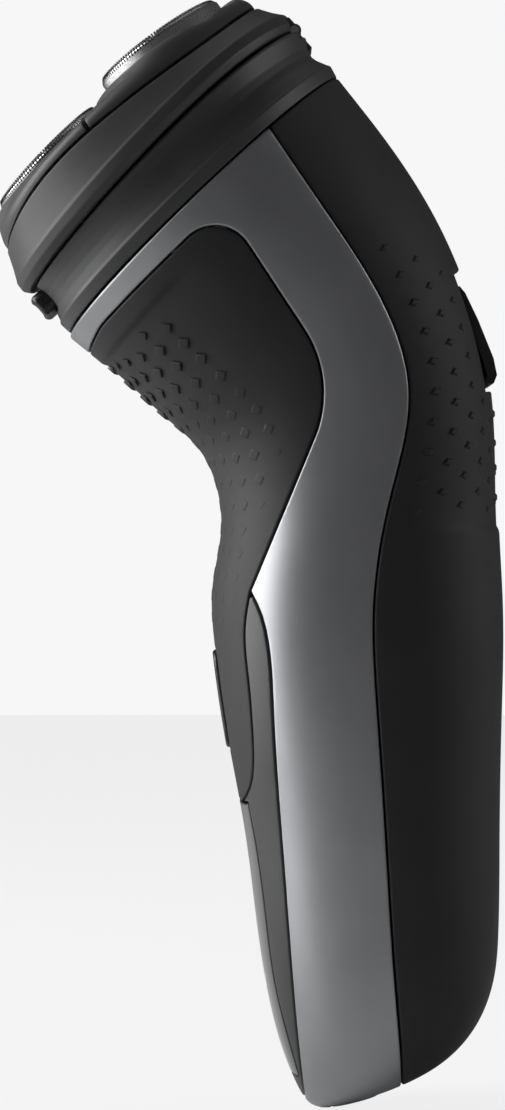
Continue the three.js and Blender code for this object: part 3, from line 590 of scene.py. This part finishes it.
def top_distance(grid):
    """How far each point of the handle lies below the edge under the collar."""
    x, u, n = head_place(grid)
    return COLLAR_SEAM["climb"] * u + COLLAR_SEAM["rise"] * (x / HANDLE[-1][4])**2 - n


handle_grid = rings(handle_rows(), even_angles(AROUND))
grid_x, grid_y, grid_z = np.moveaxis(handle_grid, 2, 0)
below_collar = top_distance(handle_grid)

grip_lower = smooth_line(GRIP_LOWER_LINE, 24)
display_line = smooth_line(DISPLAY_LINE, 24)
trim_rear = smooth_line(TRIM_REAR_LINE, 40)
grip_outline = (
    rounded_line(GRIP_CORNERS) + [(-OUTSIDE, 97), (-OUTSIDE, grip_lower[0][1])] + grip_lower[:-1])
display_outline = display_line + [
    (-9.4, DISPLAY_BOTTOM), (-OUTSIDE, DISPLAY_BOTTOM), (-OUTSIDE, display_line[0][1])]
front_outline = [(-OUTSIDE, GRIP_TIP[1]), (-OUTSIDE, -12.0)] + trim_rear
back_outline = smooth_line(BACK_LINE, 90) + [(OUTSIDE, -12), (OUTSIDE, 165), (-20, 165)]


def panel_field(outline):
    return true_distance(handle_grid, inside_distance(grid_y, grid_z, outline))


back_field = panel_field(back_outline)
grip_field = panel_field(grip_outline)
display_field = panel_field(display_outline)
front_field = panel_field(front_outline)


def button_distance(across, up, button):
    """Distance inside a button's rounded rectangle."""
    middle, corner = (button["low"] + button["high"]) / 2, button["corner"]
    dx = np.abs(across) - button["half"] + corner
    dz = np.abs(up - middle) - (button["high"] - button["low"]) / 2 + corner
    return corner - (np.hypot(np.maximum(dx, 0), np.maximum(dz, 0)) + np.minimum(np.maximum(dx, dz), 0))


def trimmer_point(x, p, q):
    c, s = math.cos(TRIMMER["tilt"]), math.sin(TRIMMER["tilt"])
    return np.array([x, TRIMMER["y"] + p * s + q * c, TRIMMER["z"] - p * c + q * s])


def trimmer_axes(grid):
    """Where points lie along the folded trimmer (p) and out from it (q)."""
    c, s = math.cos(TRIMMER["tilt"]), math.sin(TRIMMER["tilt"])
    y, z = grid[..., 1] - TRIMMER["y"], grid[..., 2] - TRIMMER["z"]
    return y * s - z * c, y * c + z * s


def trimmer_field():
    """Distance outside the opening that the trimmer lies in."""
    p, q = trimmer_axes(handle_grid)
    dp = np.abs(p - TRIMMER["middle"]) - TRIMMER["opening"]
    dx = np.abs(grid_x) - TRIMMER["half"] - TRIMMER["gap"]
    return np.where(q > -8, np.maximum(dp, dx), FAR)


def piece(name, shape, slot, body, *nodes, sharp=35.0):
    """A finished piece: its mesh, material, body, slot and the CAD nodes that it stands for."""
    made = new_object(name, *shape, MATERIALS[slot], sharp=sharp)
    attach(made, body)
    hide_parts(*nodes)
    return made


def diamonds(spots, across_half, along_half, height, top):
    """Raised diamonds: a sloped foot and a small flat top at each (place, across, along, out, share)."""
    corners = [(0, 1), (0.5, 0.5), (1, 0), (0.5, -0.5), (0, -1), (-0.5, -0.5), (-1, 0), (-0.5, 0.5)]
    points, sides, ends = [], [], []
    count = len(corners)
    for place, across, along, out, share in spots:
        start = len(points)
        last = start + 3 * count
        spread = 0.6 + 0.4 * share
        lift = height * share
        for level, rise in ((1.05, -0.15), (1.0, 0.01), (top, lift), (top * 0.75, lift * 1.06)):
            for a, b in corners:
                points.append(
                    place + across * (a * across_half * spread * level)
                    + along * (b * along_half * spread * level) + out * rise)
        for ring in range(start, last, count):
            for i in range(count):
                j = (i + 1) % count
                sides.append((ring + j, ring + i, ring + count + i, ring + count + j))
        for i in range(1, count - 1):
            ends.append((last, last + i + 1, last + i))
            ends.append((start, start + i, start + i + 1))
    return np.array(points), [np.array(sides), np.array(ends)]


def surface_frame(row, column):
    """The handle's surface at a grid place: its point, its directions round and up, and outwards."""
    row = min(max(row, 1), handle_grid.shape[0] - 2)
    low, share = int(row), row - int(row)
    left = int(column) % AROUND
    right, part = (left + 1) % AROUND, column - int(column)

    def mixed(values):
        first = values[low, left] * (1 - part) + values[low, right] * part
        second = values[low + 1, left] * (1 - part) + values[low + 1, right] * part
        return first * (1 - share) + second * share

    point, out = mixed(handle_grid), mixed(handle_normal)
    out = out / np.linalg.norm(out)
    round_way = mixed(handle_around)
    round_way = round_way - out * (round_way @ out)
    round_way = round_way / np.linalg.norm(round_way)
    return point, round_way, np.cross(out, round_way), out


handle_normal, handle_around, _ = grid_normals(handle_grid)
FRONT_COLUMN = AROUND * 3 // 4


def smooth_step(value, low, high):
    share = np.clip((value - low) / (high - low), 0, 1)
    return share * share * (3 - 2 * share)


def tracks(start_columns, direction, distance):
    """For each section, the column at a distance along it from a starting column."""
    found = np.zeros(len(handle_grid))
    for row in range(len(handle_grid)):
        first = int(round(start_columns[row]))
        columns = (first + direction * np.arange(AROUND // 2 + 1)) % AROUND
        steps = np.linalg.norm(np.diff(handle_grid[row, columns], axis=0), axis=1)
        lengths = np.concatenate([[0], np.cumsum(steps)])
        shift = distance + direction * (start_columns[row] - first) * steps[0]
        found[row] = first + direction * np.interp(shift, lengths, np.arange(len(lengths)))
    return found


def track_points(track):
    """The points along a track, one for each section."""
    rows = np.arange(len(handle_grid))
    low = np.floor(track).astype(int)
    part = (track - low)[:, None]
    return handle_grid[rows, low % AROUND] * (1 - part) + handle_grid[rows, (low + 1) % AROUND] * part


def crossing(points, start, climb):
    """The fractional section where a track crosses a line that climbs from start in the side view."""
    above = points[:, 2] - start[1] - climb * (points[:, 1] - start[0])
    for row in range(CAP_RINGS + 40, len(points) - 1):
        if above[row] <= 0 < above[row + 1]:
            return row + above[row] / (above[row] - above[row + 1])
    return None


def pick(values, row, column):
    return values[int(round(row)), int(round(column)) % AROUND]


# Diamonds: rows start at a height and follow one another at a pitch; columns stand apart sideways.
GRIP_ROWS = {"first": 65.4, "pitch": 3.35, "rows": 16, "columns": 7, "apart": 4.1}
GRIP_CLIMB = [(66, -0.22), (74, -0.16), (82, 0.0), (90, 0.15), (100, 0.28)]     # of the row at a height
GRIP_CLEAR = {"edge": 3.4, "collar": 8.0, "button": 3.0}
BACK_ROWS = {"first": 80.9, "pitch": 4.5, "rows": 10, "columns": 7, "apart": 4.3,
             "fall": 1.2, "steeper": 0.22}
BACK_CLEAR = {"edge": 4.6, "ledge": 80.5, "middle": 1.2, "trimmer": 1.5}


def steps_along(points, spacing):
    """Places (y, z) at even distances along a track, from the first height up."""
    places = points[CAP_RINGS:]
    length = np.concatenate([[0], np.cumsum(np.linalg.norm(np.diff(places, axis=0), axis=1))])
    start = np.interp(spacing["first"], places[:, 2], length)
    along = start + spacing["pitch"] * np.arange(spacing["rows"])
    return [(np.interp(a, length, places[:, 1]), np.interp(a, length, places[:, 2])) for a in along]


def grip_diamonds():
    """Rows of diamonds on the front grip, at even spacings from its middle, fading at their edges."""
    spots = []
    front = track_points(np.full(len(handle_grid), FRONT_COLUMN))
    middle = np.full(len(handle_grid), float(FRONT_COLUMN))
    for j in range(GRIP_ROWS["columns"]):
        for side in (-1, 1) if j else (1,):
            track = tracks(middle, side, GRIP_ROWS["apart"] * j)
            points = track_points(track)
            for y, z in steps_along(front, GRIP_ROWS):
                row = crossing(points, (y, z), np.interp(z, *zip(*GRIP_CLIMB)))
                if row is None:
                    continue
                column = track[int(round(row))]
                room = min(pick(grip_field, row, column) - GRIP_CLEAR["edge"],
                           pick(below_collar, row, column) - GRIP_CLEAR["collar"])
                if min(room, -pick(button_place, row, column) - GRIP_CLEAR["button"]) < 0:
                    continue
                share = min(1.0, 0.3 + room / 6, 0.3 + (z - 62) / 18)
                spots.append((*surface_frame(row, column), share))
    return diamonds(spots, across_half=1.12, along_half=0.98, height=0.07, top=0.84)


def back_edge(side):
    """The column of the back shell's front edge on one side, for each section."""
    edge = np.zeros(len(handle_grid))
    quarter = np.arange(-AROUND // 4, AROUND // 4)
    columns = (quarter if side > 0 else AROUND // 2 - quarter)
    for row in range(len(handle_grid)):
        values = back_field[row, columns % AROUND]
        edge[row] = np.interp(0.0, values, columns)
    return edge


def back_diamonds():
    """Rows of diamonds on the back shell, spaced from its front edge round to its middle."""
    spots = []
    for side in (1, -1):
        edge = back_edge(side)
        rows = steps_along(track_points(tracks(edge, side, BACK_CLEAR["edge"])), BACK_ROWS)
        for j in range(BACK_ROWS["columns"]):
            track = tracks(edge, side, BACK_CLEAR["edge"] + BACK_ROWS["apart"] * j)
            points = track_points(track)
            fall = BACK_ROWS["fall"] * j + BACK_ROWS["steeper"] * j * j
            for index, (y, z) in enumerate(rows):
                row = crossing(points, (y, z - fall), 0.0)
                if row is None or z - fall < BACK_CLEAR["ledge"]:
                    continue
                column = track[int(round(row))]
                beside = side * pick(grid_x, row, column) - BACK_CLEAR["middle"]
                if min(beside, pick(trimmer_place, row, column) - BACK_CLEAR["trimmer"]) < 0:
                    continue
                share = min(1.0, 0.8 + 0.08 * min(index, 9 - index)) * (1 - 0.04 * j)
                spots.append((*surface_frame(row, column), share))
    return diamonds(spots, across_half=1.15, along_half=0.68, height=0.32, top=0.55)


def box_loop(half_x, half_p, corner, count=12):
    """A rounded rectangle as a loop of points, anticlockwise."""
    loop = []
    for quarter in range(4):
        sx, sp = [(1, 1), (-1, 1), (-1, -1), (1, -1)][quarter]
        for step in range(count + 1):
            turn = math.pi / 2 * (quarter + step / count)
            loop.append((
                sx * (half_x - corner) + corner * math.cos(turn),
                sp * (half_p - corner) + corner * math.sin(turn)))
    return np.array(loop)


def loops(levels, wrap_rows=False):
    """Skins equal loops of points, closed by a fan at each end or by joining the last to the first."""
    grid = np.array(levels)
    rows, columns = grid.shape[:2]
    points = grid.reshape(-1, 3)
    faces = [triangles_of(rows, columns)]
    if wrap_rows:
        closing = triangles_of(2, columns)
        faces.append(closing % columns + np.where(closing < columns, (rows - 1) * columns, 0))
    else:
        middle = np.array([grid[0].mean(0), grid[-1].mean(0)])
        hub = len(points)
        place = np.arange(columns)
        following = (place + 1) % columns
        faces.append(np.stack([np.full(columns, hub), following, place], 1))
        faces.append(np.stack([
            np.full(columns, hub + 1), place + hub - columns, following + hub - columns], 1))
        points = np.concatenate([points, middle])
    return points, faces


def placed(grid, matrix):
    """Points, or a grid of them, carried by a matrix."""
    m = np.array(matrix)
    return (grid.reshape(-1, 3) @ m[:3, :3].T + m[:3, 3]).reshape(grid.shape)


def moved(shape, matrix):
    return placed(np.asarray(shape[0], float), matrix), shape[1]


def turned(profile, count, matrix):
    """A profile of (radius, height) points turned about a matrix's third axis."""
    turn = np.linspace(0, 2 * np.pi, count, endpoint=False)
    levels = [np.stack([r * np.cos(turn), r * np.sin(turn), np.full(count, h)], 1) for r, h in profile]
    return moved(loops(levels), matrix)


HEAD = Matrix((
    (1, 0, 0, 0),
    (0, math.cos(HEAD_TILT), -math.sin(HEAD_TILT), HEAD_CENTRE[0]),
    (0, math.sin(HEAD_TILT), math.cos(HEAD_TILT), HEAD_CENTRE[1]),
    (0, 0, 0, 1),
))


# ---- handle panels ----
button_place = np.where(grid_y < 0, button_distance(grid_x, grid_z, BUTTON), -FAR)
trimmer_place = trimmer_field()
socket_room = np.maximum(np.abs(grid_x) - SOCKET["half_x"], np.abs(grid_y) - SOCKET["half_y"])
socket_place = np.where(grid_z < SOCKET["below"], socket_room, FAR)
outside_front = np.minimum.reduce([-grip_field, -display_field, -front_field])
silver_field = np.minimum.reduce([below_collar, -back_field, outside_front, socket_place])


# Each pair of numbers is where a ledge, its end or its fading starts and is complete.
GRIP_LEDGE = {"depth": 0.32, "step": (6.3, 7.1), "ends": (-16, -4), "fades": (12, 26)}
BACK_LEDGE = {"height": 0.4, "step": (-79.2, -78.2), "starts": (8, 18), "fades": (30, 70)}


def grip_grid():
    """The grip sinks a little below a ledge that runs along its upper edge."""
    _, u, _ = head_place(handle_grid)
    sink = GRIP_LEDGE["depth"] * smooth_step(below_collar, *GRIP_LEDGE["step"])
    sink *= 1 - smooth_step(u, *GRIP_LEDGE["ends"])
    sink *= 1 - smooth_step(below_collar, *GRIP_LEDGE["fades"])
    return handle_grid - handle_normal * sink[..., None]


def back_grid():
    """The back shell stands a little proud below the diamonds."""
    rise = BACK_LEDGE["height"] * smooth_step(-grid_z, *BACK_LEDGE["step"])
    rise *= smooth_step(grid_y, *BACK_LEDGE["starts"])
    rise *= smooth_step(grid_z, *BACK_LEDGE["fades"])
    return handle_grid + handle_normal * rise[..., None]


def make_handle():
    frame_shape = panel_mesh(handle_grid, silver_field)
    piece("side_frame_skin", frame_shape, "silver", "handle", "side_frame")
    grip = panel_mesh(grip_grid(), np.minimum.reduce([grip_field, below_collar, -button_place - 0.1]))
    piece("front_grip_skin", joined(grip, grip_diamonds()), "rubber", "handle", "front_grip")
    back = panel_mesh(back_grid(), np.minimum.reduce([back_field, below_collar, trimmer_place]))
    piece("back_shell_skin", joined(back, back_diamonds(), trimmer_bay()), "rubber", "handle", "back_shell")
    trim = panel_mesh(handle_grid, np.minimum.reduce([front_field, -grip_field, -display_field]))
    piece("front_trim_skin", trim, "trim", "handle", "front_trim")
    glass = panel_mesh(handle_grid, display_field, radius=0.2)
    piece("display_window_skin", glass, "black", "handle", "display_window")
    button = panel_mesh(handle_grid, button_place, radius=0.45, raise_by=BUTTON["proud"], inset=0.1)
    piece("on_off_button_skin", button, "button", "power_button", "on_off_button")


def make_lights():
    """Three small pale lights low on the display."""
    parts = []
    dz = np.abs(grid_z - LIGHTS["z"]) - LIGHTS["straight"]
    for x in LIGHTS["across"]:
        field = LIGHTS["radius"] - np.hypot(np.abs(grid_x - x), np.maximum(dz, 0))
        field = np.where(grid_y < 0, field, -FAR)
        parts.append(panel_mesh(handle_grid, field, rim=0.5, radius=0.1, raise_by=0.06, inset=0.0))
    piece("display_lights", joined(*parts), "white", "handle")


BAY = {"half": 9.45, "gap": 0.75, "corner": 1.2, "floor": -4.8, "wall": 1.0, "hole": 9.0}


def trimmer_bay():
    """The tub in the back shell that the folded trimmer lies in."""
    loop = box_loop(TRIMMER["half"] + BAY["gap"], BAY["half"], BAY["corner"])
    rear = handle_grid[:, :AROUND // 2].reshape(-1, 3)
    p, q = trimmer_axes(rear)
    height = []
    for x, along in loop:
        away = (rear[:, 0] - x)**2 + (p - TRIMMER["middle"] - along)**2 + 0.02
        near = np.argsort(away)[:8]
        height.append((q[near] / away[near]).sum() / (1 / away[near]).sum())
    top = np.array(height) - BAY["wall"]

    def level(grow, heights):
        scale = 1 + grow / np.maximum(np.linalg.norm(loop, axis=1), 1)
        return [trimmer_point(x * k, TRIMMER["middle"] + a * k, h)
                for (x, a), k, h in zip(loop, scale, heights)]

    flat = np.full(len(loop), BAY["floor"])
    wall, hole = BAY["wall"], -BAY["hole"]
    return loops([
        level(hole, flat), level(-0.6, flat), level(0, flat + 0.5), level(0, top), level(wall, top),
        level(wall, flat - wall), level(hole, flat - wall)], wrap_rows=True)


# ---- the head ----
HEAD_AROUND = 240
HEAD_ANGLES = even_angles(HEAD_AROUND, 2.2, 28.0, 28.0)
RING_ROWS = 84
LOBE_ROWS = 110


def head_ring(sections, wall, cut, drop=0.0):
    """A hollow ring of the head without the places where cut is negative; drop lowers its top inside."""
    rows = creased(sections, RING_ROWS)
    inside = rows.copy()
    inside[:, 0] += wall
    inside[:, 2] -= wall
    inside[:, 4] -= wall
    inside[:, [1, 3]] -= drop * np.linspace(0, 1, RING_ROWS)[:, None]
    outer = rings(head_rows(rows), HEAD_ANGLES)
    inner = rings(head_rows(inside), HEAD_ANGLES)
    return panel_mesh(outer, cut(*head_place(outer)), inner=inner, inset=0.0, radius=0.12)


def collar_cut(x, u, n):
    """Negative in the release button's notch and where the unit's hinge knuckles stand."""
    notch = np.maximum(np.abs(x) - RELEASE["half"] - 0.7, RELEASE["low"] - 0.3 - n)
    hinge = np.maximum(np.abs(x) - HINGE["half"] - 0.3, HINGE["floor"] - n)
    return np.minimum(np.where(u < -15, notch, FAR), np.where(u > 15, hinge, FAR))


def unit_cut(x, u, n):
    """Negative where the collar's hinge knuckle stands."""
    gap = np.maximum(np.abs(x) - HINGE["middle"] - 0.4, n - HINGE["n"] - 1.5)
    return np.where(u > 15, gap, FAR)


ALONG_X = Matrix(((0, 0, 1, 0), (0, 1, 0, 0), (-1, 0, 0, 0), (0, 0, 0, 1)))


def barrel(x0, x1, radius):
    """A round-edged barrel along X on the hinge's axis."""
    edge = 0.25
    profile = [
        (0, x0), (radius - edge, x0), (radius - 0.07, x0 + 0.07), (radius, x0 + edge),
        (radius, x1 - edge), (radius - 0.07, x1 - 0.07), (radius - edge, x1), (0, x1)]
    place = HEAD @ Matrix.Translation((0, HINGE["u"], HINGE["n"])) @ ALONG_X
    return turned(profile, 32, place)


def head_block(x0, x1, u0, u1, n0, n1, edge=0.25):
    """A block in the head's frame with chamfered edges."""
    levels = []
    for n, grow in ((n0, -edge), (n0 + edge, 0), (n1 - edge, 0), (n1, -edge)):
        loop = box_loop((x1 - x0) / 2 + grow, (u1 - u0) / 2 + grow, edge + 0.05, 3)
        levels.append([((x0 + x1) / 2 + x, (u0 + u1) / 2 + u, n) for x, u in loop])
    return moved(loops(levels), HEAD)


def make_head():
    collar = head_ring(COLLAR, WALLS["collar"], collar_cut)
    knuckle = barrel(-HINGE["middle"], HINGE["middle"], HINGE["barrel"])
    foot = head_block(-HINGE["middle"], HINGE["middle"], 26.0, HINGE["rear"], 6.6, 9.8)
    piece("collar_skin", joined(collar, knuckle, foot), "satin", "handle", "collar")
    unit = head_ring(UNIT, WALLS["unit"], unit_cut, drop=UNIT_DROP)
    parts = [unit]
    for side in (-1, 1):
        x0, x1 = sorted((side * (HINGE["middle"] + 0.5), side * HINGE["half"]))
        parts.append(barrel(x0, x1, HINGE["barrel"]))
        parts.append(head_block(x0, x1, 25.8, HINGE["rear"], HINGE["n"], 12.2))
    piece("unit_body_skin", joined(*parts), "satin", "shaving_unit", "unit_body")
    make_release()
    for name, lobe in LOBES.items():
        make_lobe(name, lobe)
        make_cap(name, lobe)


def make_release():
    """The release button: a rounded pad with a shallow round dish, and its hook behind."""
    x, n = np.meshgrid(np.linspace(-7, 7, 141), np.linspace(2.8, 7.4, 47))
    middle = (RELEASE["low"] + RELEASE["high"]) / 2
    field = button_distance(x, n, RELEASE)
    dish = DISH["depth"] * np.exp(-((x / DISH["across"])**4 + ((n - middle) / DISH["up"])**4))
    face = np.stack([x, RELEASE["face"] + DISH["curve"] * x**2 + dish, n], 2)
    inner = np.stack([x, np.full_like(x, RELEASE["back"]), n], 2)
    pad = moved(panel_mesh(face, field, inner=inner, radius=0.5, inset=0.0, wrap=False), HEAD)
    hook = head_block(-4.5, 4.5, -25.7, -23.2, RELEASE["low"] + 0.1, RELEASE["high"] + 2.2)
    piece("release_button_skin", joined(pad, hook), "button", "release", "release_button")


def cutter_matrix(lobe):
    turn, lean, toward = (math.radians(lobe[part]) for part in ("turn", "lean", "toward"))
    spot = (SPINDLE_CIRCLE * math.cos(turn), DRIVE_U + SPINDLE_CIRCLE * math.sin(turn), CUTTER_N)
    axis = Vector((-math.sin(toward), math.cos(toward), 0))
    return HEAD @ Matrix.Translation(spot) @ Matrix.Rotation(lean, 4, axis)


def raised_to_cap(grid, lobe):
    """Near the cap the dome rises or falls to lie a set depth under the cap's top."""
    places = placed(grid, cutter_matrix(lobe).inverted())
    away = np.hypot(places[..., 0], places[..., 1]) - CAP_RADIUS
    share = 1 - smooth_step(away, *CAP_COLLAR["falls"])
    share = share * smooth_step(np.arange(len(grid)), *CAP_COLLAR["from_rows"])[:, None]
    places[..., 2] += share * (lobe["reach"] + CAP_ABOVE - lobe["shows"] - places[..., 2])
    return placed(places, cutter_matrix(lobe))


def make_lobe(name, lobe):
    """One third of the dome, parted from the others by slots, with a round opening for its cap."""
    outer = raised_to_cap(rings(natural_spline(head_rows(DOME), LOBE_ROWS), HEAD_ANGLES), lobe)
    x, u, n = head_place(outer)
    reach = math.hypot(SIDE_SLOT_END[0], SIDE_SLOT_END[1] - SLOT_MEETING)
    across, back = SIDE_SLOT_END[0] / reach, (SIDE_SLOT_END[1] - SLOT_MEETING) / reach
    front = back * np.abs(x) - across * (u - SLOT_MEETING)
    part = {"front": front, "right": np.minimum(-front, x), "left": np.minimum(-front, -x)}[name]
    flat = placed(outer, cutter_matrix(lobe).inverted())
    bore = np.hypot(flat[..., 0], flat[..., 1]) - CAP_RADIUS - 0.35
    field = np.minimum(part - LOBE_GAP, bore)
    edge = np.clip(1 - np.arange(len(outer)) / LOBE_WALL["rows"], 0, 1)[:, None]
    inset = 1 - LOBE_WALL["inset"] * edge
    inner = np.stack([x * inset, u * inset, n - LOBE_WALL["thick"] + LOBE_WALL["thins"] * edge], 2)
    shape = panel_mesh(outer, field, inner=placed(inner, HEAD), inset=0.0, radius=0.14)
    piece(f"cap_holder_{name}_skin", shape, "satin", f"lobe_{name}", f"cap_holder_{name}")


CAP = {"slots": 120, "slot_share": 0.48, "skirt": 1.0, "wall": 0.42, "inner": 9.95}


def make_cap(name, lobe):
    """A cap with radial slots that run over its rim, round a dished middle."""
    top = lobe["reach"] + CAP_ABOVE
    low = lobe["reach"] - CAP["skirt"]
    # Each station: radius, height, and whether the slots run from it to the next one.
    stations = [
        (0.0, top - 0.2, 0), (2.6, top - 0.2, 0), (3.9, top - 0.22, 0), (4.15, top - 0.3, 0),
        (4.3, top - 0.75, 0), (4.9, top - 0.75, 0), (5.1, top - 0.2, 0), (5.35, top - 0.04, 0),
        (5.9, top, 0), (6.1, top, 1), (7.2, top + 0.04, 1), (8.4, top + 0.04, 1), (9.4, top - 0.01, 1),
        (10.05, top - 0.06, 1), (10.28, top - 0.16, 1), (10.38, top - 0.3, 1),
        (CAP_RADIUS, top - 0.62, 0), (CAP_RADIUS, top - 1.1, 0), (CAP_RADIUS, low + 0.1, 0), (10.3, low, 0),
    ]
    profile = np.array([row[:2] for row in stations])
    slope = np.gradient(profile, axis=0)
    slope /= np.linalg.norm(slope, axis=1, keepdims=True)
    wall = profile + np.stack([-slope[:, 1], slope[:, 0]], 1) * CAP["wall"]
    wall[:, 0] = np.clip(wall[:, 0], 0, CAP["inner"])
    wall[:2] = [(0.0, top - 0.6), (2.6, top - 0.6)]
    wall[-1] = (9.9, low)
    pitch = 2 * math.pi / CAP["slots"]
    turn = np.concatenate([[k * pitch, k * pitch + pitch * CAP["slot_share"]] for k in range(CAP["slots"])])

    def spun(line):
        return np.stack([
            line[:, :1] * np.cos(turn), line[:, :1] * np.sin(turn),
            np.repeat(line[:, 1:], len(turn), 1)], 2).reshape(-1, 3)

    columns = len(turn)
    faces = []
    for row in range(len(stations) - 1):
        for place in range(columns):
            if stations[row][2] and place % 2 == 0:
                continue
            following = (place + 1) % columns
            a, b = row * columns + place, row * columns + following
            faces.append((a, b + columns, b))
            faces.append((a, a + columns, b + columns))
    shape = shell(spun(profile), spun(wall), np.array(faces))
    piece(f"cap_{name}_skin", moved(shape, cutter_matrix(lobe)), "steel", f"lobe_{name}", f"cap_{name}",
          sharp=28.0)


# ---- the trimmer ----
def make_trimmer():
    """The trimmer's cover: a thin lid with a flared finger catch, rounded at its sides."""
    length, half, steps = TRIMMER["length"], TRIMMER["half"], 24
    top = [(0.4, 0.0), (1.6, 0.5), (4.0, 0.9), (7.0, 1.25), (10.0, 1.55), (12.6, 1.75), (14.4, 1.6)]
    nose = [(15.2, 1.2), (15.6, 0.6), (15.5, 0.0)]
    under = [(14.6, -0.3), (12.4, -0.6), (8.0, -0.7), (4.0, -0.75), (1.2, -0.7), (0.5, -0.4)]
    profile = np.array(smooth_line(top + nose + under + [top[0]], 90)[:-1])
    centre = np.stack([np.clip(profile[:, 0], 1.4, length - 1.4), np.interp(
        profile[:, 0], [0.4, 4, 10, 15.6], [-0.3, 0.1, 0.45, 0.4])], 1)
    levels = []
    for step in range(-steps, steps + 1):
        x = half * math.sin(math.pi / 2 * step / steps)
        room = (half - abs(x)) / 0.8
        share = math.sqrt(max(0.0, 1 - (1 - min(room, 1))**2)) * 0.75 + 0.25
        spot = centre + (profile - centre) * share
        levels.append([trimmer_point(x, p, q - TRIMMER["camber"] * x * x) for p, q in spot])
    piece("trimmer_cover_skin", loops(levels), "rubber", "trimmer")


make_handle()
make_lights()
make_head()
make_trimmer()


# ---- the CAD's own nodes that stay ----
for name, solid in NODES.items():
    if not solid.hide_render:
        finish = MATERIALS[SLOT_OF[name]]
        solid.data.materials.clear()
        solid.data.materials.append(finish)


# ---- the studio, in metres ----
CAMERA_PLACE = (0.65, -0.0162, 0.0747)
VIEW_HEIGHT = 0.1665   # what the camera's frame spans at the shaver
PALE = (0.93, 0.93, 0.93, 1)
FLOOR_GLOW = {"strength": 1.05, "share": 0.86}
# Each light: place, target, size, watts.
AREA_LIGHTS = {
    "key_front": ((-0.04, -0.56, 0.12), (0, 0, 0.07), (0.64, 0.9), 8.2),
    "rim_back": ((-0.25, 0.75, 0.25), (0, 0, 0.1), (0.2, 0.6), 0.6),
    "rim_side": ((0.1, 0.7, 0.4), (0, 0, 0.13), (0.2, 0.2), 0.8),
    "top": ((-0.3, 0.0, 1.2), (0, 0, 0.0), (1.0, 1.0), 1.3),
}


def stage_material():
    """A pale floor that looks evenly lit, and throws little light back."""
    made = material("studio_floor", (0.74, 0.74, 0.74), (0.78, 0.78, 0.78), (0.7, 0.8), patch=6, grain=60,
                    bump=0.05, depth=0.0002)
    tree = made.node_tree
    glow = node(tree, "ShaderNodeEmission", Color=PALE, Strength=FLOOR_GLOW["strength"])
    path = tree.nodes.new("ShaderNodeLightPath")
    share = tree.nodes.new("ShaderNodeMath")
    share.operation = "MULTIPLY"
    share.inputs[1].default_value = FLOOR_GLOW["share"]
    link(tree, path, "Is Camera Ray", share, 0)
    shader_mix(tree, share.outputs[0], tree.nodes["Principled BSDF"], glow, "Material Output")
    return made


def make_floor():
    """A pale round floor, very slightly domed so that it isn't a bare disc."""
    turn = np.linspace(0, 2 * np.pi, 96, endpoint=False)
    levels = [[(r * math.cos(t), r * math.sin(t), GROUND - 0.0002 * r) for t in turn]
              for r in (1600, 900, 400, 150, 40)]
    floor = new_object("studio_floor", *loops(levels), stage_material())


def area_light(name, place, target, size, watts):
    lamp = bpy.data.lights.new(name, "AREA")
    lamp.shape = "RECTANGLE"
    lamp.size, lamp.size_y = size
    lamp.energy = watts
    holder = bpy.data.objects.new(name, lamp)
    bpy.context.scene.collection.objects.link(holder)
    holder.visible_camera = False
    holder.location = place
    holder.rotation_euler = (Vector(target) - Vector(place)).to_track_quat("-Z", "Y").to_euler()


def make_camera():
    lens = bpy.data.cameras.new("camera")
    lens.sensor_fit = "VERTICAL"
    lens.sensor_height = 36
    lens.lens = lens.sensor_height * CAMERA_PLACE[0] / VIEW_HEIGHT
    camera = bpy.data.objects.new("camera", lens)
    camera.location = CAMERA_PLACE
    camera.rotation_euler = (math.pi / 2, 0, math.pi / 2)
    bpy.context.scene.collection.objects.link(camera)
    bpy.context.scene.camera = camera


def make_world():
    """A pale surround for the eye, and a dim one for light and reflections."""
    world = bpy.data.worlds.new("studio")
    bpy.context.scene.world = world
    world.use_nodes = True
    tree = world.node_tree
    seen = tree.nodes["Background"]
    seen.inputs["Color"].default_value = PALE
    seen.inputs["Strength"].default_value = 1.0
    felt = node(tree, "ShaderNodeBackground", Color=(1, 1, 1, 1), Strength=0.05)
    path = tree.nodes.new("ShaderNodeLightPath")
    shader_mix(tree, path.outputs["Is Camera Ray"], felt, seen, "World Output")


make_floor()
make_camera()
make_world()
for name, values in AREA_LIGHTS.items():
    area_light(name, *values)
bpy.context.scene.view_settings.view_transform = "Standard"
